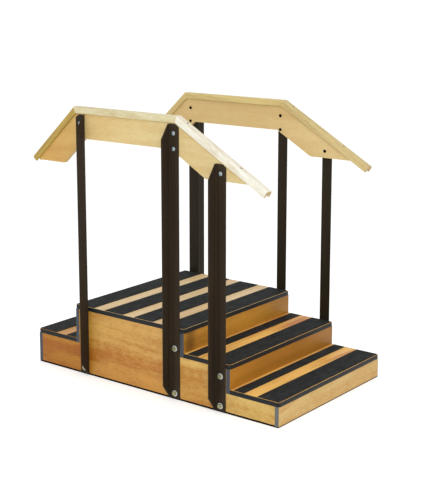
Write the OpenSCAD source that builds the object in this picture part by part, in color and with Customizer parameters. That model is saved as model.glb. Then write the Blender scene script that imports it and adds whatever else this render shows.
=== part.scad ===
// Two-sided training stairs with a pair of handrails.
// A plywood carcass carries a platform, two low steps on one side and one high step on the other.
// Six steel angle posts are bolted to the side panels and hold two arched rail plates with cap rails.
// Millimetres, +Z up. The origin is on the floor, midway along the length and across the width.
// +X runs along the stairs towards the two low steps; the near side of the stairs is at -Y.

/* [Stairs] */
// Width across the treads, outer face to outer face
stair_w = 754; // [600:1:900]
// Platform length, riser face to riser face
platform_l = 606; // [560:1:700]
// Going of each low step
low_going = 236; // [220:1:300]
// Going of the high step
high_going = 232; // [220:1:300]
// Height of each of the three low rises; the two high rises share the same total
low_rise = 102; // [96:1:110]
// Thickness of the plywood boards
board_t = 18; // [15:1:20]
// Overhang of a tread past its riser
nosing = 3; // [2:1:8]
// Radius of the tread corners at the nosing
tread_corner_r = 12; // [6:1:20]

/* [Edging, grips and runners] */
// Thickness of the dark edge banding
edge_t = 2; // [1:0.5:3]
// Thickness of the anti-slip strips
grip_t = 2.5; // [1.5:0.5:4]
// Width of a wide anti-slip strip
grip_wide = 102; // [80:1:110]
// Width of the narrow strip next to a riser
grip_narrow = 51; // [30:1:60]
// Gap between the two strips on a step
grip_gap = 64; // [20:1:64]
// Margin from a tread's edge to its strips
grip_margin = 5; // [4:1:8]
// Height of the runners under the side panels
runner_h = 8; // [6:1:12]
// Height of the strips under the end risers
end_strip_h = 4; // [2:1:6]

/* [Posts] */
// Leg width of the steel angle
leg = 51; // [45:1:54]
// Thickness of the steel angle
leg_t = 4; // [3:1:5]
// Fold of the left post, whose flat leg points left
left_post_x = -346; // [-352:1:-330]
// Fold of the middle post, whose flat leg points right
mid_post_x = 114; // [100:1:114]
// Fold of the right post, whose flat leg points right
right_post_x = 349; // [340:1:349]
// Top of the left and middle posts
tall_post_z = 1141; // [1120:1:1142]
// Top of the right post
short_post_z = 1004; // [980:1:1006]
// Gap between the floor and the posts
post_foot_z = 6; // [4:1:12]

/* [Handrails] */
// Height of the level part of the handrail
rail_top = 1174; // [1173:1:1200]
// Left end of the level part
level_l = -404; // [-410:1:-400]
// Right end of the level part
level_r = 159; // [157:1:165]
// Horizontal run of the left slope
left_run = 253; // [240:1:253]
// Horizontal run of the right slope
right_run = 438; // [420:1:480]
// Angle of the left slope
left_slope = 42.8; // [40:0.1:44]
// Angle of the right slope
right_slope = 30.1; // [29:0.1:30.5]
// Width of the cap rail
cap_w = 38; // [34:1:46]
// Depth of the cap rail
cap_h = 28; // [26:1:30]
// Radius of the cap rail's upper edges
cap_r = 9; // [5:1:12]
// Depth of the groove that holds the rail plate
groove_d = 12; // [8:1:14]
// Depth of the handrail from the cap's top to the plate's lower edge
rail_depth = 135; // [130:1:145]
// Height of the left foot of the rail plate
left_foot_z = 926; // [920:1:935]
// Height of the right foot of the rail plate
right_foot_z = 937; // [930:1:945]

/* [Fasteners] */
// Distance of the bolts from the fold of a post
bolt_inset = 26; // [24:1:28]
// Diameter of the bolts
bolt_d = 10; // [8:1:12]
// Diameter of the domed heads on the handrails
dome_d = 18; // [16:1:22]
// Width across flats of the hexagon heads on the base
hex_w = 17; // [15:1:19]
// Diameter of the washers on the base
washer_d = 25; // [22:1:28]

/* [Hidden] */
$fn = 48;

// Stations along the length and heights of the treads
total_l = platform_l + 2 * low_going + high_going;
right_x = total_l / 2;
middle_x = right_x - low_going;
deck_right_x = middle_x - low_going;
deck_left_x = deck_right_x - platform_l;
left_x = -total_l / 2;
deck_z = 3 * low_rise;
high_z = deck_z / 2;
middle_z = 2 * low_rise;
lower_z = low_rise;
side_y = stair_w / 2;
panel_y = side_y - board_t;

// Risers: left and right face, foot and head. The first two face left, the others face right
RISERS = [
    [left_x, left_x + board_t, end_strip_h, high_z - board_t],
    [deck_left_x, deck_left_x + board_t, high_z - board_t, deck_z - board_t],
    [deck_right_x - board_t, deck_right_x, middle_z - board_t, deck_z - board_t],
    [middle_x - board_t, middle_x, lower_z - board_t, middle_z - board_t],
    [right_x - board_t, right_x, end_strip_h, lower_z - board_t]];

// Posts: fold, direction of the flat leg, top, heights of the rail bolts, heights of the base bolts
POSTS = [
    [left_post_x, -1, tall_post_z, [1104, 1042], [219, 30]],
    [mid_post_x, 1, tall_post_z, [1104, 1042], [219, 27]],
    [right_post_x, 1, short_post_z, [967], [151, 27]]];

// Chamfers of the standing leg and of the flat leg's upper corner
leg_chamfer_w = 42;
leg_chamfer_h = 60;
corner_chamfer_w = 18;
corner_chamfer_h = 13;
hole_r = bolt_d / 2 + 0.3;

// Treads: start, end, and whether the corners at each end are round
HIGH = [left_x - nosing, deck_left_x, true, false];
DECK = [deck_left_x - nosing, deck_right_x + nosing, true, true];
MIDDLE = [deck_right_x, middle_x + nosing, false, true];
LOWER = [middle_x, right_x + nosing, false, true];

// Four wide strips share the platform evenly
deck_grips = 4;
deck_pitch = (DECK[1] - DECK[0] - 2 * grip_margin - grip_wide) / (deck_grips - 1);
deck_spans = [for (i = [0:deck_grips - 1]) span(DECK[0] + grip_margin + i * deck_pitch, grip_wide)];

// Solid wood blocks behind the posts and in the end corners, and the ribs under the treads
block_t = 30;
block_w = 50;
block_head = 30;
rib_h = 100;
rib_x = [-240, -30];

// Rail plate and cap rail
plate_mid_y = side_y - board_t / 2;
plate_top = cap_h - groove_d;
toe_depth = cap_h + 5;
toe_radius = 4;
heel_radius = 12;
cap_ease_r = 3;
reach = 600;

// Countersunk cap screws, placed by their distance from the mitre
screw_r = 4;
screw_l = 34;
screw_head_h = 3;
level_screw_inset = 90;
left_screws = [50, 240];
right_screws = [51, 354];

// Bolts, nuts and washers
rail_nut_r = 6.8;
rail_nut_h = 3;
dome_h = 5;
hex_h = 6.5;
washer_t = 2;
base_nut_w = 17;
base_nut_h = 8;
thread_gap = 0.05;

PLY = "#cf9a50";
PLY_DARK = "#b07a35";
PLY_PALE = "#e0c08c";
EDGE = "#3a4048";
RUBBER = "#2e3030";
BLACK = "#101010";
STEEL = "#332b26";
BIRCH = "#dcc28a";
ZINC = "#c3c6c8";
BRASS = "#8a7448";

function bolt_x(p) = p[0] + p[1] * bolt_inset;
function unit(v) = v / norm(v);

// Points of an arc of radius r that rounds the corner b between its neighbours a and c
function fillet(a, b, c, r, n = 6) =
    let (u = unit(a - b), v = unit(c - b), half = acos(u * v) / 2)
    let (m = b + unit(u + v) * r / sin(half), p = b + u * r / tan(half), q = b + v * r / tan(half))
    let (start = atan2(p.y - m.y, p.x - m.x), stop = atan2(q.y - m.y, q.x - m.x))
    let (sweep = (stop - start + 540) % 360 - 180)
    [for (i = [0:n]) m + r * [cos(start + sweep * i / n), sin(start + sweep * i / n)]];

// Points of the handrail in side view, d below the top of the cap measured square to it
function left_mitre(d) = [level_l + d * tan(left_slope / 2), rail_top - d];
function right_mitre(d) = [level_r - d * tan(right_slope / 2), rail_top - d];
function left_at_z(d, z) =
    [level_l - (rail_top - z - d / cos(left_slope)) / tan(left_slope), z];
function right_at_z(d, z) =
    [level_r + (rail_top - z - d / cos(right_slope)) / tan(right_slope), z];

// The point d above p, measured square to the slope
function left_rise(p, d) = p + d * [-sin(left_slope), cos(left_slope)];
function right_rise(p, d) = p + d * [sin(right_slope), cos(right_slope)];

// ---- carcass ----

module far() { mirror([0, 1, 0]) children(); }

module along_y(y0, y1) {
    translate([0, y1, 0]) rotate([90, 0, 0]) linear_extrude(y1 - y0) children();
}

module bolt_hole(x, z, y0, y1, r) {
    translate([x, y1, z]) rotate([90, 0, 0]) cylinder(h = y1 - y0, r = r);
}

module base_holes() {
    for (p = POSTS)
        for (z = p[4])
            bolt_hole(bolt_x(p), z, -side_y - leg_t - 1, -panel_y + block_t + 1, hole_r);
}

module rail_holes() {
    for (p = POSTS)
        for (z = p[3])
            bolt_hole(bolt_x(p), z, -side_y - leg_t - 1, -panel_y + 1, hole_r);
}

module side_panel() {
    color(PLY) difference() {
        along_y(-side_y, -panel_y) polygon([
            [left_x + board_t, runner_h], [right_x - board_t, runner_h],
            [right_x - board_t, lower_z - board_t], [middle_x - board_t, lower_z - board_t],
            [middle_x - board_t, middle_z - board_t], [deck_right_x - board_t, middle_z - board_t],
            [deck_right_x - board_t, deck_z - board_t], [deck_left_x + board_t, deck_z - board_t],
            [deck_left_x + board_t, high_z - board_t], [left_x + board_t, high_z - board_t]]);
        base_holes();
    }
}

module riser(r) {
    color(PLY_DARK) translate([r[0], -side_y + edge_t, r[2]])
        cube([r[1] - r[0], stair_w - 2 * edge_t, r[3] - r[2]]);
}

module riser_end_bands() {
    color(EDGE) for (r = RISERS)
        for (y = [-side_y, side_y - edge_t])
            translate([r[0], y, r[2]]) cube([r[1] - r[0], edge_t, r[3] - r[2]]);
}

module floor_runner() {
    color(BLACK) translate([left_x + board_t, -side_y, 0])
        cube([total_l - 2 * board_t, board_t, runner_h]);
}

module end_floor_strips() {
    color(BLACK) for (x = [left_x, right_x - board_t])
        translate([x, -side_y, 0]) cube([board_t, stair_w, end_strip_h]);
}

// Tread in plan; t is [start, end, round start, round end] and inset shrinks the free edges
module tread_plan(t, inset) {
    r = tread_corner_r - inset;
    y = side_y - inset;
    a = t[0] + (t[2] ? inset : 0);
    b = t[1] - (t[3] ? inset : 0);
    round_a = a + (t[2] ? r : 0);
    round_b = b - (t[3] ? r : 0);
    translate([a, -y + r]) square([b - a, 2 * (y - r)]);
    translate([round_a, -y]) square([round_b - round_a, 2 * y]);
    for (s = [-1, 1]) {
        if (t[2]) translate([round_a, s * (y - r)]) circle(r);
        if (t[3]) translate([round_b, s * (y - r)]) circle(r);
    }
}

module board(t, z, tint) {
    color(tint) translate([0, 0, z - board_t]) linear_extrude(board_t) tread_plan(t, edge_t);
}

module edging(t, z) {
    color(EDGE) translate([0, 0, z - board_t]) linear_extrude(board_t) difference() {
        tread_plan(t, 0);
        tread_plan(t, edge_t);
    }
}

// Anti-slip strips across a tread; each span is [start, end] along the length
module grips(t, z, spans) {
    color(RUBBER) translate([0, 0, z]) linear_extrude(grip_t) intersection() {
        tread_plan(t, grip_margin);
        for (s = spans) translate([s[0], -side_y]) square([s[1] - s[0], stair_w]);
    }
}

// Spans of a step's two strips; its nosing is at x and its riser lies in direction d
function step_spans(x, d) =
    let (wide = x + d * grip_margin, narrow = wide + d * (grip_wide + grip_gap))
    [span(wide, d * grip_wide), span(narrow, d * grip_narrow)];
function span(x, w) = [min(x, x + w), max(x, x + w)];

// ---- framing inside the carcass ----

module platform_ribs() {
    color(PLY_PALE) for (x = rib_x)
        translate([x, -panel_y, deck_z - board_t - rib_h]) cube([board_t, 2 * panel_y, rib_h]);
}

module bearer(x, z) {
    low = max(runner_h, z - board_t - rib_h);
    translate([x - board_t / 2, -panel_y, low]) cube([board_t, 2 * panel_y, z - board_t - low]);
}

module tread_bearers() {
    color(PLY_PALE) {
        bearer(left_x + high_going / 2, high_z);
        bearer(deck_right_x + low_going / 2, middle_z);
        bearer(middle_x + low_going / 2, lower_z);
    }
}

module corner_blocks() {
    color(PLY_PALE) for (y = [-panel_y, panel_y - block_t]) {
        translate([left_x + board_t, y, runner_h])
            cube([block_t, block_t, high_z - board_t - runner_h]);
        translate([right_x - board_t - block_t, y, runner_h])
            cube([block_t, block_t, lower_z - board_t - runner_h]);
    }
}

module post_blocks() {
    color(PLY_PALE) difference() {
        for (p = POSTS)
            translate([bolt_x(p) - block_w / 2, -panel_y, runner_h])
                cube([block_w, block_t, p[4][0] + block_head - runner_h]);
        base_holes();
    }
}

// ---- posts ----

module flat_leg(p) {
    along_y(-side_y - leg_t, -side_y) polygon([
        [p[0], post_foot_z], [p[0] + p[1] * leg, post_foot_z],
        [p[0] + p[1] * leg, p[2] - corner_chamfer_h],
        [p[0] + p[1] * (leg - corner_chamfer_w), p[2]], [p[0], p[2]]]);
}

module standing_leg(p) {
    translate([p[1] > 0 ? p[0] : p[0] - leg_t, 0, 0]) rotate([90, 0, 90])
        linear_extrude(leg_t) polygon([
            [-side_y, post_foot_z], [-side_y, p[2]],
            [-side_y - leg + leg_chamfer_w, p[2]], [-side_y - leg, p[2] - leg_chamfer_h],
            [-side_y - leg, post_foot_z + leg_chamfer_h],
            [-side_y - leg + leg_chamfer_w, post_foot_z]]);
}

module post(p) {
    color(STEEL) difference() {
        union() {
            flat_leg(p);
            standing_leg(p);
        }
        base_holes();
        rail_holes();
    }
}

// ---- handrails ----

// Plate cut to an arch; the cap sits on its upper edge and its two feet are level
module rail_plate() {
    toe_l = left_at_z(toe_depth, left_foot_z);
    toe_r = right_at_z(toe_depth, right_foot_z);
    corners = [
        [left_rise(toe_l, toe_depth - plate_top), 0],
        [left_mitre(plate_top), 0],
        [right_mitre(plate_top), 0],
        [right_rise(toe_r, toe_depth - plate_top), 0],
        [toe_r, toe_radius],
        [right_at_z(rail_depth, right_foot_z), heel_radius],
        [right_mitre(rail_depth), heel_radius],
        [left_mitre(rail_depth), heel_radius],
        [left_at_z(rail_depth, left_foot_z), heel_radius],
        [toe_l, toe_radius]];
    n = len(corners);
    outline = [for (i = [0:n - 1])
        let (a = corners[(i + n - 1) % n][0], b = corners[i][0], c = corners[(i + 1) % n][0])
        each (corners[i][1] > 0 ? fillet(a, b, c, corners[i][1]) : [b])];
    color(BIRCH) difference() {
        along_y(-side_y, -panel_y) polygon(outline);
        rail_holes();
        for (side = [-1:1]) screw_row(side);
    }
}

// Section of the cap rail: round upper edges, eased lower edges and the groove for the plate
module cap_section() {
    difference() {
        union() {
            for (s = [-1, 1]) {
                translate([s * (cap_w / 2 - cap_r), -cap_r]) circle(cap_r);
                translate([s * (cap_w / 2 - cap_ease_r), -cap_h + cap_ease_r]) circle(cap_ease_r);
            }
            translate([-cap_w / 2 + cap_r, -cap_r]) square([cap_w - 2 * cap_r, cap_r]);
            translate([-cap_w / 2, -cap_h + cap_ease_r]) square([cap_w, cap_h - cap_r - cap_ease_r]);
            translate([-cap_w / 2 + cap_ease_r, -cap_h]) square([cap_w - 2 * cap_ease_r, cap_h / 2]);
        }
        translate([-board_t / 2, -cap_h - 1]) square([board_t, groove_d + 1]);
    }
}

module cap_bar(x0, x1) {
    translate([x0, -plate_mid_y, 0]) rotate([90, 0, 90]) linear_extrude(x1 - x0) cap_section();
}

// Everything beyond a mitre in side view, towards -X for side -1 and towards +X for side 1
module beyond(mitre_high, mitre_low, side) {
    along_y(-side_y - cap_w, -panel_y + cap_w) polygon([
        mitre_high, mitre_low,
        mitre_low + [side * reach, -reach], mitre_high + [side * reach, 0]]);
}

module left_frame() {
    translate([level_l, 0, rail_top]) rotate([0, -left_slope, 0]) children();
}

module right_frame() {
    translate([level_r, 0, rail_top]) rotate([0, right_slope, 0]) children();
}

module cap_screw(x) {
    translate([x, -plate_mid_y, 0]) {
        translate([0, 0, -screw_head_h]) cylinder(h = screw_head_h, r1 = screw_r / 2, r2 = screw_r);
        translate([0, 0, -screw_l]) cylinder(h = screw_l - screw_head_h, r = screw_r / 2);
    }
}

// Screws of one cap segment: -1 the left slope, 0 the level part, 1 the right slope
module screw_row(side) {
    if (side < 0) left_frame() for (s = left_screws) cap_screw(-s);
    if (side == 0) translate([0, 0, rail_top])
        for (x = [level_l + level_screw_inset, level_r - level_screw_inset]) cap_screw(x);
    if (side > 0) right_frame() for (s = right_screws) cap_screw(s);
}

module left_cap() {
    color(BIRCH) difference() {
        intersection() {
            left_frame() cap_bar(-left_run / cos(left_slope), cap_h);
            beyond(left_mitre(-1), left_mitre(cap_h + 1), -1);
        }
        screw_row(-1);
    }
}

module level_cap() {
    color(BIRCH) difference() {
        intersection() {
            translate([0, 0, rail_top]) cap_bar(level_l, level_r);
            along_y(-side_y - cap_w, -panel_y + cap_w) polygon([
                left_mitre(-1), right_mitre(-1), right_mitre(cap_h + 1), left_mitre(cap_h + 1)]);
        }
        screw_row(0);
    }
}

module right_cap() {
    color(BIRCH) difference() {
        intersection() {
            right_frame() cap_bar(-cap_h, right_run / cos(right_slope));
            beyond(right_mitre(-1), right_mitre(cap_h + 1), 1);
        }
        screw_row(1);
    }
}

// ---- fasteners ----

module both_sides() {
    children();
    far() children();
}

// Puts its children at every bolt of one row, pointing out of the near side from the plane y
module at_bolts(row, y) {
    for (p = POSTS)
        for (z = p[row])
            translate([bolt_x(p), y, z]) rotate([90, 0, 0]) children();
}

// Low dome of radius r and height h
module dome(r, h) {
    ball = (r * r + h * h) / (2 * h);
    intersection() {
        translate([0, 0, h - ball]) sphere(ball);
        cylinder(h = h, r = r);
    }
}

module hexagon(w, h) {
    cylinder(h = h, r = w / 2 / cos(30), $fn = 6);
}

module cap_screws() {
    color(BRASS) both_sides() for (side = [-1:1]) screw_row(side);
}

module rail_bolts() {
    color(ZINC) both_sides() {
        at_bolts(3, -panel_y) cylinder(h = board_t + leg_t, r = bolt_d / 2);
        at_bolts(3, -side_y - leg_t) dome(dome_d / 2, dome_h);
    }
}

module rail_nuts() {
    color(BLACK) both_sides() at_bolts(3, -panel_y) mirror([0, 0, 1]) dome(rail_nut_r, rail_nut_h);
}

module base_bolts() {
    stack = base_nut_h + block_t + board_t + leg_t + washer_t;
    color(ZINC) both_sides() {
        at_bolts(4, -panel_y + block_t + base_nut_h) cylinder(h = stack, r = bolt_d / 2);
        at_bolts(4, -side_y - leg_t - washer_t) hexagon(hex_w, hex_h);
    }
}

module base_washers() {
    color(ZINC) both_sides() at_bolts(4, -side_y - leg_t) difference() {
        cylinder(h = washer_t, r = washer_d / 2);
        translate([0, 0, -1]) cylinder(h = washer_t + 2, r = hole_r);
    }
}

module base_nuts() {
    color(ZINC) both_sides() at_bolts(4, -panel_y + block_t + base_nut_h) difference() {
        hexagon(base_nut_w, base_nut_h);
        translate([0, 0, -1]) cylinder(h = base_nut_h + 2, r = bolt_d / 2 + thread_gap);
    }
}

side_panel();  // near_side_panel
far() side_panel();  // far_side_panel
riser(RISERS[0]);  // left_end_riser
riser(RISERS[1]);  // platform_left_riser
riser(RISERS[2]);  // platform_right_riser
riser(RISERS[3]);  // low_middle_riser
riser(RISERS[4]);  // right_end_riser
riser_end_bands();
board(HIGH, high_z, PLY);  // high_tread
board(DECK, deck_z, PLY_PALE);  // platform_deck
board(MIDDLE, middle_z, PLY);  // middle_tread
board(LOWER, lower_z, PLY);  // lower_tread
edging(HIGH, high_z);  // high_tread_edging
edging(DECK, deck_z);  // platform_edging
edging(MIDDLE, middle_z);  // middle_tread_edging
edging(LOWER, lower_z);  // lower_tread_edging
grips(HIGH, high_z, step_spans(HIGH[0], 1));  // high_tread_grips
grips(DECK, deck_z, deck_spans);  // platform_grips
grips(MIDDLE, middle_z, step_spans(MIDDLE[1], -1));  // middle_tread_grips
grips(LOWER, lower_z, step_spans(LOWER[1], -1));  // lower_tread_grips
floor_runner();  // near_floor_runner
far() floor_runner();  // far_floor_runner
end_floor_strips();
platform_ribs();
tread_bearers();
corner_blocks();
post_blocks();  // near_post_blocks
far() post_blocks();  // far_post_blocks
post(POSTS[0]);  // near_left_post
post(POSTS[1]);  // near_middle_post
post(POSTS[2]);  // near_right_post
far() post(POSTS[0]);  // far_left_post
far() post(POSTS[1]);  // far_middle_post
far() post(POSTS[2]);  // far_right_post
rail_plate();  // near_rail_plate
far() rail_plate();  // far_rail_plate
left_cap();  // near_left_cap
level_cap();  // near_level_cap
right_cap();  // near_right_cap
far() left_cap();  // far_left_cap
far() level_cap();  // far_level_cap
far() right_cap();  // far_right_cap
cap_screws();
rail_bolts();
rail_nuts();
base_bolts();
base_washers();
base_nuts();
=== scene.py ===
"""Looks for the training stairs with handrails: boards, bandings, strips, posts, rails and fasteners."""

import math

import bmesh
import bpy
from bpy.props import FloatProperty, FloatVectorProperty, IntProperty, PointerProperty
from mathutils import Matrix, Vector


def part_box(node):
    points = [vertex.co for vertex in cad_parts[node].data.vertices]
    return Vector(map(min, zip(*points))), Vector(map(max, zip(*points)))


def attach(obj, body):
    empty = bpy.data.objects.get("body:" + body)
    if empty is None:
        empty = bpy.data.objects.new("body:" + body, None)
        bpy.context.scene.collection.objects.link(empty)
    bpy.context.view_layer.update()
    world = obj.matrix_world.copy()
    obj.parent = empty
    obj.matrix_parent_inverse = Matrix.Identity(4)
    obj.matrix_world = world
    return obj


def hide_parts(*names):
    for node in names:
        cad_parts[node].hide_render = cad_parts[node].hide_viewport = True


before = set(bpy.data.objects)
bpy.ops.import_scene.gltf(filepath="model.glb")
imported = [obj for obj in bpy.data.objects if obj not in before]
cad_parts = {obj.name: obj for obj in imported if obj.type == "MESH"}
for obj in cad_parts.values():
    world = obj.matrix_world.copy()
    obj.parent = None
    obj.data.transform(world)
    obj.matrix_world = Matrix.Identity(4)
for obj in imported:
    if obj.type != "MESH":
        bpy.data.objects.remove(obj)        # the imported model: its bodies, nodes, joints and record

bl_info = {
    "name": "Training Stairs with Handrails",
    "version": (1, 0, 0),
    "blender": (4, 5, 0),
    "location": "View3D > Sidebar > Stairs",
    "description": "Builds training stairs with a platform, steel posts and arched wooden handrails",
    "category": "Object",
}

BODY = "root"
SIDES = ("near", "far")
RISERS = ("left_end_riser", "platform_left_riser", "platform_right_riser",
          "low_middle_riser", "right_end_riser")

# Cut sizes of the posts, in metres: wall, and the width and height of each chamfer
POST_THICKNESS = 0.004
LEG_CHAMFER = (0.042, 0.060)
TOE_CHAMFER = (0.018, 0.013)

# Rail plates: height of the right foot, drop of the toes below the cap, radii of the corners
RIGHT_FOOT = 0.937
TOE_DROP = 0.005
TOE_RADIUS = 0.004
HEEL_RADIUS = 0.012

# Cap rails: half their width, and the rounding of the cut ends, the mitres and the groove's lips
CAP_HALF_WIDTH = 0.019
CUT_END_EASE = 0.0025
MITRE_EASE = 0.0004
GROOVE_EASE = 0.0008

# Cap screw holes: room round the head, radius of the bore, and heights measured from the cap's top
HEAD_CLEARANCE = 0.0004
BORE_RADIUS = 0.0021
BORE_FOOT = -0.04
CONE_FOOT = -0.0035
CONE_LIP = -0.0002
CUTTER_TOP = 0.004

# Bolt holes: room round the bolt, and how far the cutter reaches each way
BOLT_CLEARANCE = 0.0003
BOLT_REACH = 0.1

RUNNER_EASE = 0.0008     # rounding of the runners and the end strips
END_MARGIN = 0.01        # a strip this close to a tread's free end follows its round corners
LIT_CORNER_MARGIN = 0.001    # banding from this far short of the last riser takes the paler finish, a painted highlight
SHARP_ANGLE = 35.0       # degrees; edges sharper than this stay crisp

# How squarely a face looks along a direction, from 0 to 1, to count as facing that way
BOARD_FACING = 0.72
END_FACING = 0.9

# Studio, in metres, with the key light's elevation in degrees and the sensor in millimetres
FLOOR_REACH = 400
FLOOR_THICKNESS = 0.02
FLOOR_GLOW = 0.42
SENSOR_WIDTH = 36.0
KEY_ELEVATION = 28
KEY_DISTANCE = 4.2
KEY_SIZE = 2.6
TOP_HEIGHT = 3.6
TOP_AIM = 0.5
TOP_SIZE = 3.0

WHITE = (1.0, 1.0, 1.0, 1.0)
PATTERN_STEP = 0.9       # moves the grain pattern from one board to the next, in metres
FINISHES = {}            # filled once by finishes()

# Treads: the board's node, the edging's node, the strips' node, and which ends are free
TREADS = (
    ("high_tread", "high_tread_edging", "high_tread_grips", True, False),
    ("platform_deck", "platform_edging", "platform_grips", True, True),
    ("middle_tread", "middle_tread_edging", "middle_tread_grips", False, True),
    ("lower_tread", "lower_tread_edging", "lower_tread_grips", False, True),
)


def paint(code):
    """A hexadecimal sRGB colour as linear red, green and blue."""
    values = [int(code[i:i + 2], 16) / 255 for i in (0, 2, 4)]
    return tuple(v / 12.92 if v <= 0.04045 else ((v + 0.055) / 1.055) ** 2.4 for v in values)


def tinted(colour, red=1.0, green=1.0, blue=1.0):
    """The same colour with each channel scaled, and an alpha of one."""
    return (colour[0] * red, colour[1] * green, colour[2] * blue, 1.0)


def low(node):
    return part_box(node)[0]


def high(node):
    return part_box(node)[1]


def colour_prop(name, description, code):
    return FloatVectorProperty(name=name, description=description, default=paint(code),
                               subtype="COLOR", size=3, min=0.0, max=1.0)


def length_prop(name, description, metres, least=0.0, most=1.0):
    return FloatProperty(name=name, description=description, default=metres, min=least, max=most,
                         subtype="DISTANCE", unit="LENGTH", precision=4)


def angle_prop(name, description, degrees, least=-180.0, most=180.0):
    return FloatProperty(name=name, description=description, default=math.radians(degrees),
                         min=math.radians(least), max=math.radians(most), subtype="ANGLE", unit="ROTATION")


class StairColours(bpy.types.PropertyGroup):
    """Colours of the wood, the rubber, the paint and the metals."""

    side: colour_prop("Side veneer", "Maple veneer of the two side panels", "c69852")
    side_dark: colour_prop("Side figure", "Darker figure in the side veneer", "b2742a")
    riser: colour_prop("Riser veneer", "Amber veneer of the inner risers", "c98e30")
    riser_dark: colour_prop("Riser figure", "Darker figure in the risers", "99621b")
    deck: colour_prop("Deck veneer", "Pale veneer of the platform deck", "dcbe8e")
    deck_dark: colour_prop("Deck figure", "Darker figure in the deck", "c69c60")
    tread: colour_prop("Tread veneer", "Warmer veneer of the three step treads", "e8b45e")
    tread_dark: colour_prop("Tread figure", "Darker figure in the step treads", "bf7434")
    plate: colour_prop("Rail plate veneer", "Birch veneer of the rail plates", "d4be8a")
    plate_dark: colour_prop("Rail plate figure", "Darker figure in the rail plates", "c29858")
    cap: colour_prop("Cap rail wood", "Pale solid wood of the cap rails", "dcca90")
    cap_dark: colour_prop("Cap rail grain", "Grain lines of the cap rails", "b99d5c")
    ply: colour_prop("Plywood edge", "Pale layers on a plywood edge", "dfc594")
    ply_dark: colour_prop("Plywood edge layers", "Cross layers on a plywood edge", "a87a45")
    frame_wood: colour_prop("Framing wood", "Softwood ribs and blocks inside the carcass", "dcbf8c")
    frame_dark: colour_prop("Framing grain", "Grain lines of the framing wood", "b98a4c")
    banding: colour_prop("Riser banding", "Blue-grey banding over the riser ends", "3a4049")
    edging: colour_prop("Tread edging", "Near-black banding round the treads", "191b1d")
    rubber: colour_prop("Anti-slip rubber", "Charcoal anti-slip strips", "272929")
    runner: colour_prop("Runner plastic", "Black runners on the floor", "030303")
    post: colour_prop("Post paint", "Dark brown powder coat of the posts", "32291f")
    zinc: colour_prop("Zinc plate", "Plated bolts, nuts and washers", "c3c8ca")
    brass: colour_prop("Screw brass", "Dull countersunk cap screws", "7a6238")
    nut: colour_prop("Black nut", "Blackened round nuts of the handrails", "101010")


class StairSizes(bpy.types.PropertyGroup):
    """Sizes of the edges, the bends and the fasteners."""

    board_ease: length_prop("Board easing", "Rounding of the plywood edges", 0.0006, 0.0002, 0.002)
    plate_ease: length_prop("Rail plate easing", "Rounding of the rail plate's edges", 0.0012, 0.0004, 0.003)
    band_ease: length_prop("Banding easing", "Rounding of the edge banding", 0.0006, 0.0002, 0.0009)
    strip_ease: length_prop("Strip easing", "Rounding of the anti-slip strips", 0.0007, 0.0002, 0.0012)
    tread_corner: length_prop("Tread corner", "Radius of the tread corners", 0.012, 0.004, 0.03)
    fold_inner: length_prop("Inner fold", "Radius inside the fold of a post", 0.003, 0.001, 0.006)
    fold_outer: length_prop("Outer fold", "Radius outside the fold of a post", 0.005, 0.002, 0.009)
    toe_ease: length_prop("Leg easing", "Rounding of the post's cut edges", 0.0007, 0.0002, 0.0015)
    left_slope: angle_prop("Left slope", "Fall of the handrail's left slope", 42.8, 30, 60)
    right_slope: angle_prop("Right slope", "Fall of the handrail's right slope", 30.1, 20, 50)
    cap_depth: length_prop("Cap depth", "Depth of the cap rail", 0.028, 0.02, 0.04)
    cap_round: length_prop("Cap rounding", "Radius of the cap rail's upper edges", 0.009, 0.003, 0.012)
    cap_lower: length_prop("Cap lower rounding", "Radius of the cap rail's lower edges", 0.003, 0.001, 0.005)
    groove: length_prop("Groove depth", "Depth of the groove that holds the rail plate", 0.012, 0.005, 0.02)
    rail_depth: length_prop("Handrail depth", "Top of the cap to the plate's lower edge", 0.135, 0.1, 0.2)
    dome: length_prop("Dome head", "Diameter of the domed bolt heads", 0.018, 0.01, 0.03)
    hexagon: length_prop("Hexagon head", "Width across the flats of the hexagon heads", 0.017, 0.01, 0.03)
    bolt: length_prop("Bolt", "Diameter of the bolts", 0.010, 0.005, 0.016)
    washer: length_prop("Washer", "Diameter of the washers", 0.025, 0.015, 0.04)
    dome_height: length_prop("Dome height", "Height of the domed bolt heads", 0.005, 0.002, 0.01)
    hexagon_height: length_prop("Hexagon height", "Height of the hexagon heads", 0.0065, 0.003, 0.01)
    washer_height: length_prop("Washer thickness", "Thickness of the washers", 0.002, 0.001, 0.004)
    base_nut: length_prop("Base nut", "Width across the flats of the base nuts", 0.017, 0.01, 0.03)
    base_nut_height: length_prop("Base nut height", "Height of the base nuts", 0.008, 0.004, 0.012)
    round_nut: length_prop("Round nut", "Diameter of the handrail's round nuts", 0.0136, 0.008, 0.02)
    round_nut_height: length_prop("Round nut height", "Height of the round nuts", 0.003, 0.001, 0.008)
    screw: length_prop("Screw head", "Diameter of the countersunk screw heads", 0.008, 0.004, 0.012)
    screw_height: length_prop("Screw head height", "Depth of the countersunk heads", 0.003, 0.001, 0.006)
    screw_shank: length_prop("Screw shank", "Diameter of the screw shanks", 0.004, 0.002, 0.006)
    screw_length: length_prop("Screw length", "Length of the screw shanks", 0.034, 0.01, 0.06)
    seed: IntProperty(name="Seed", description="Turn of the fasteners", default=7, min=0)


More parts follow.
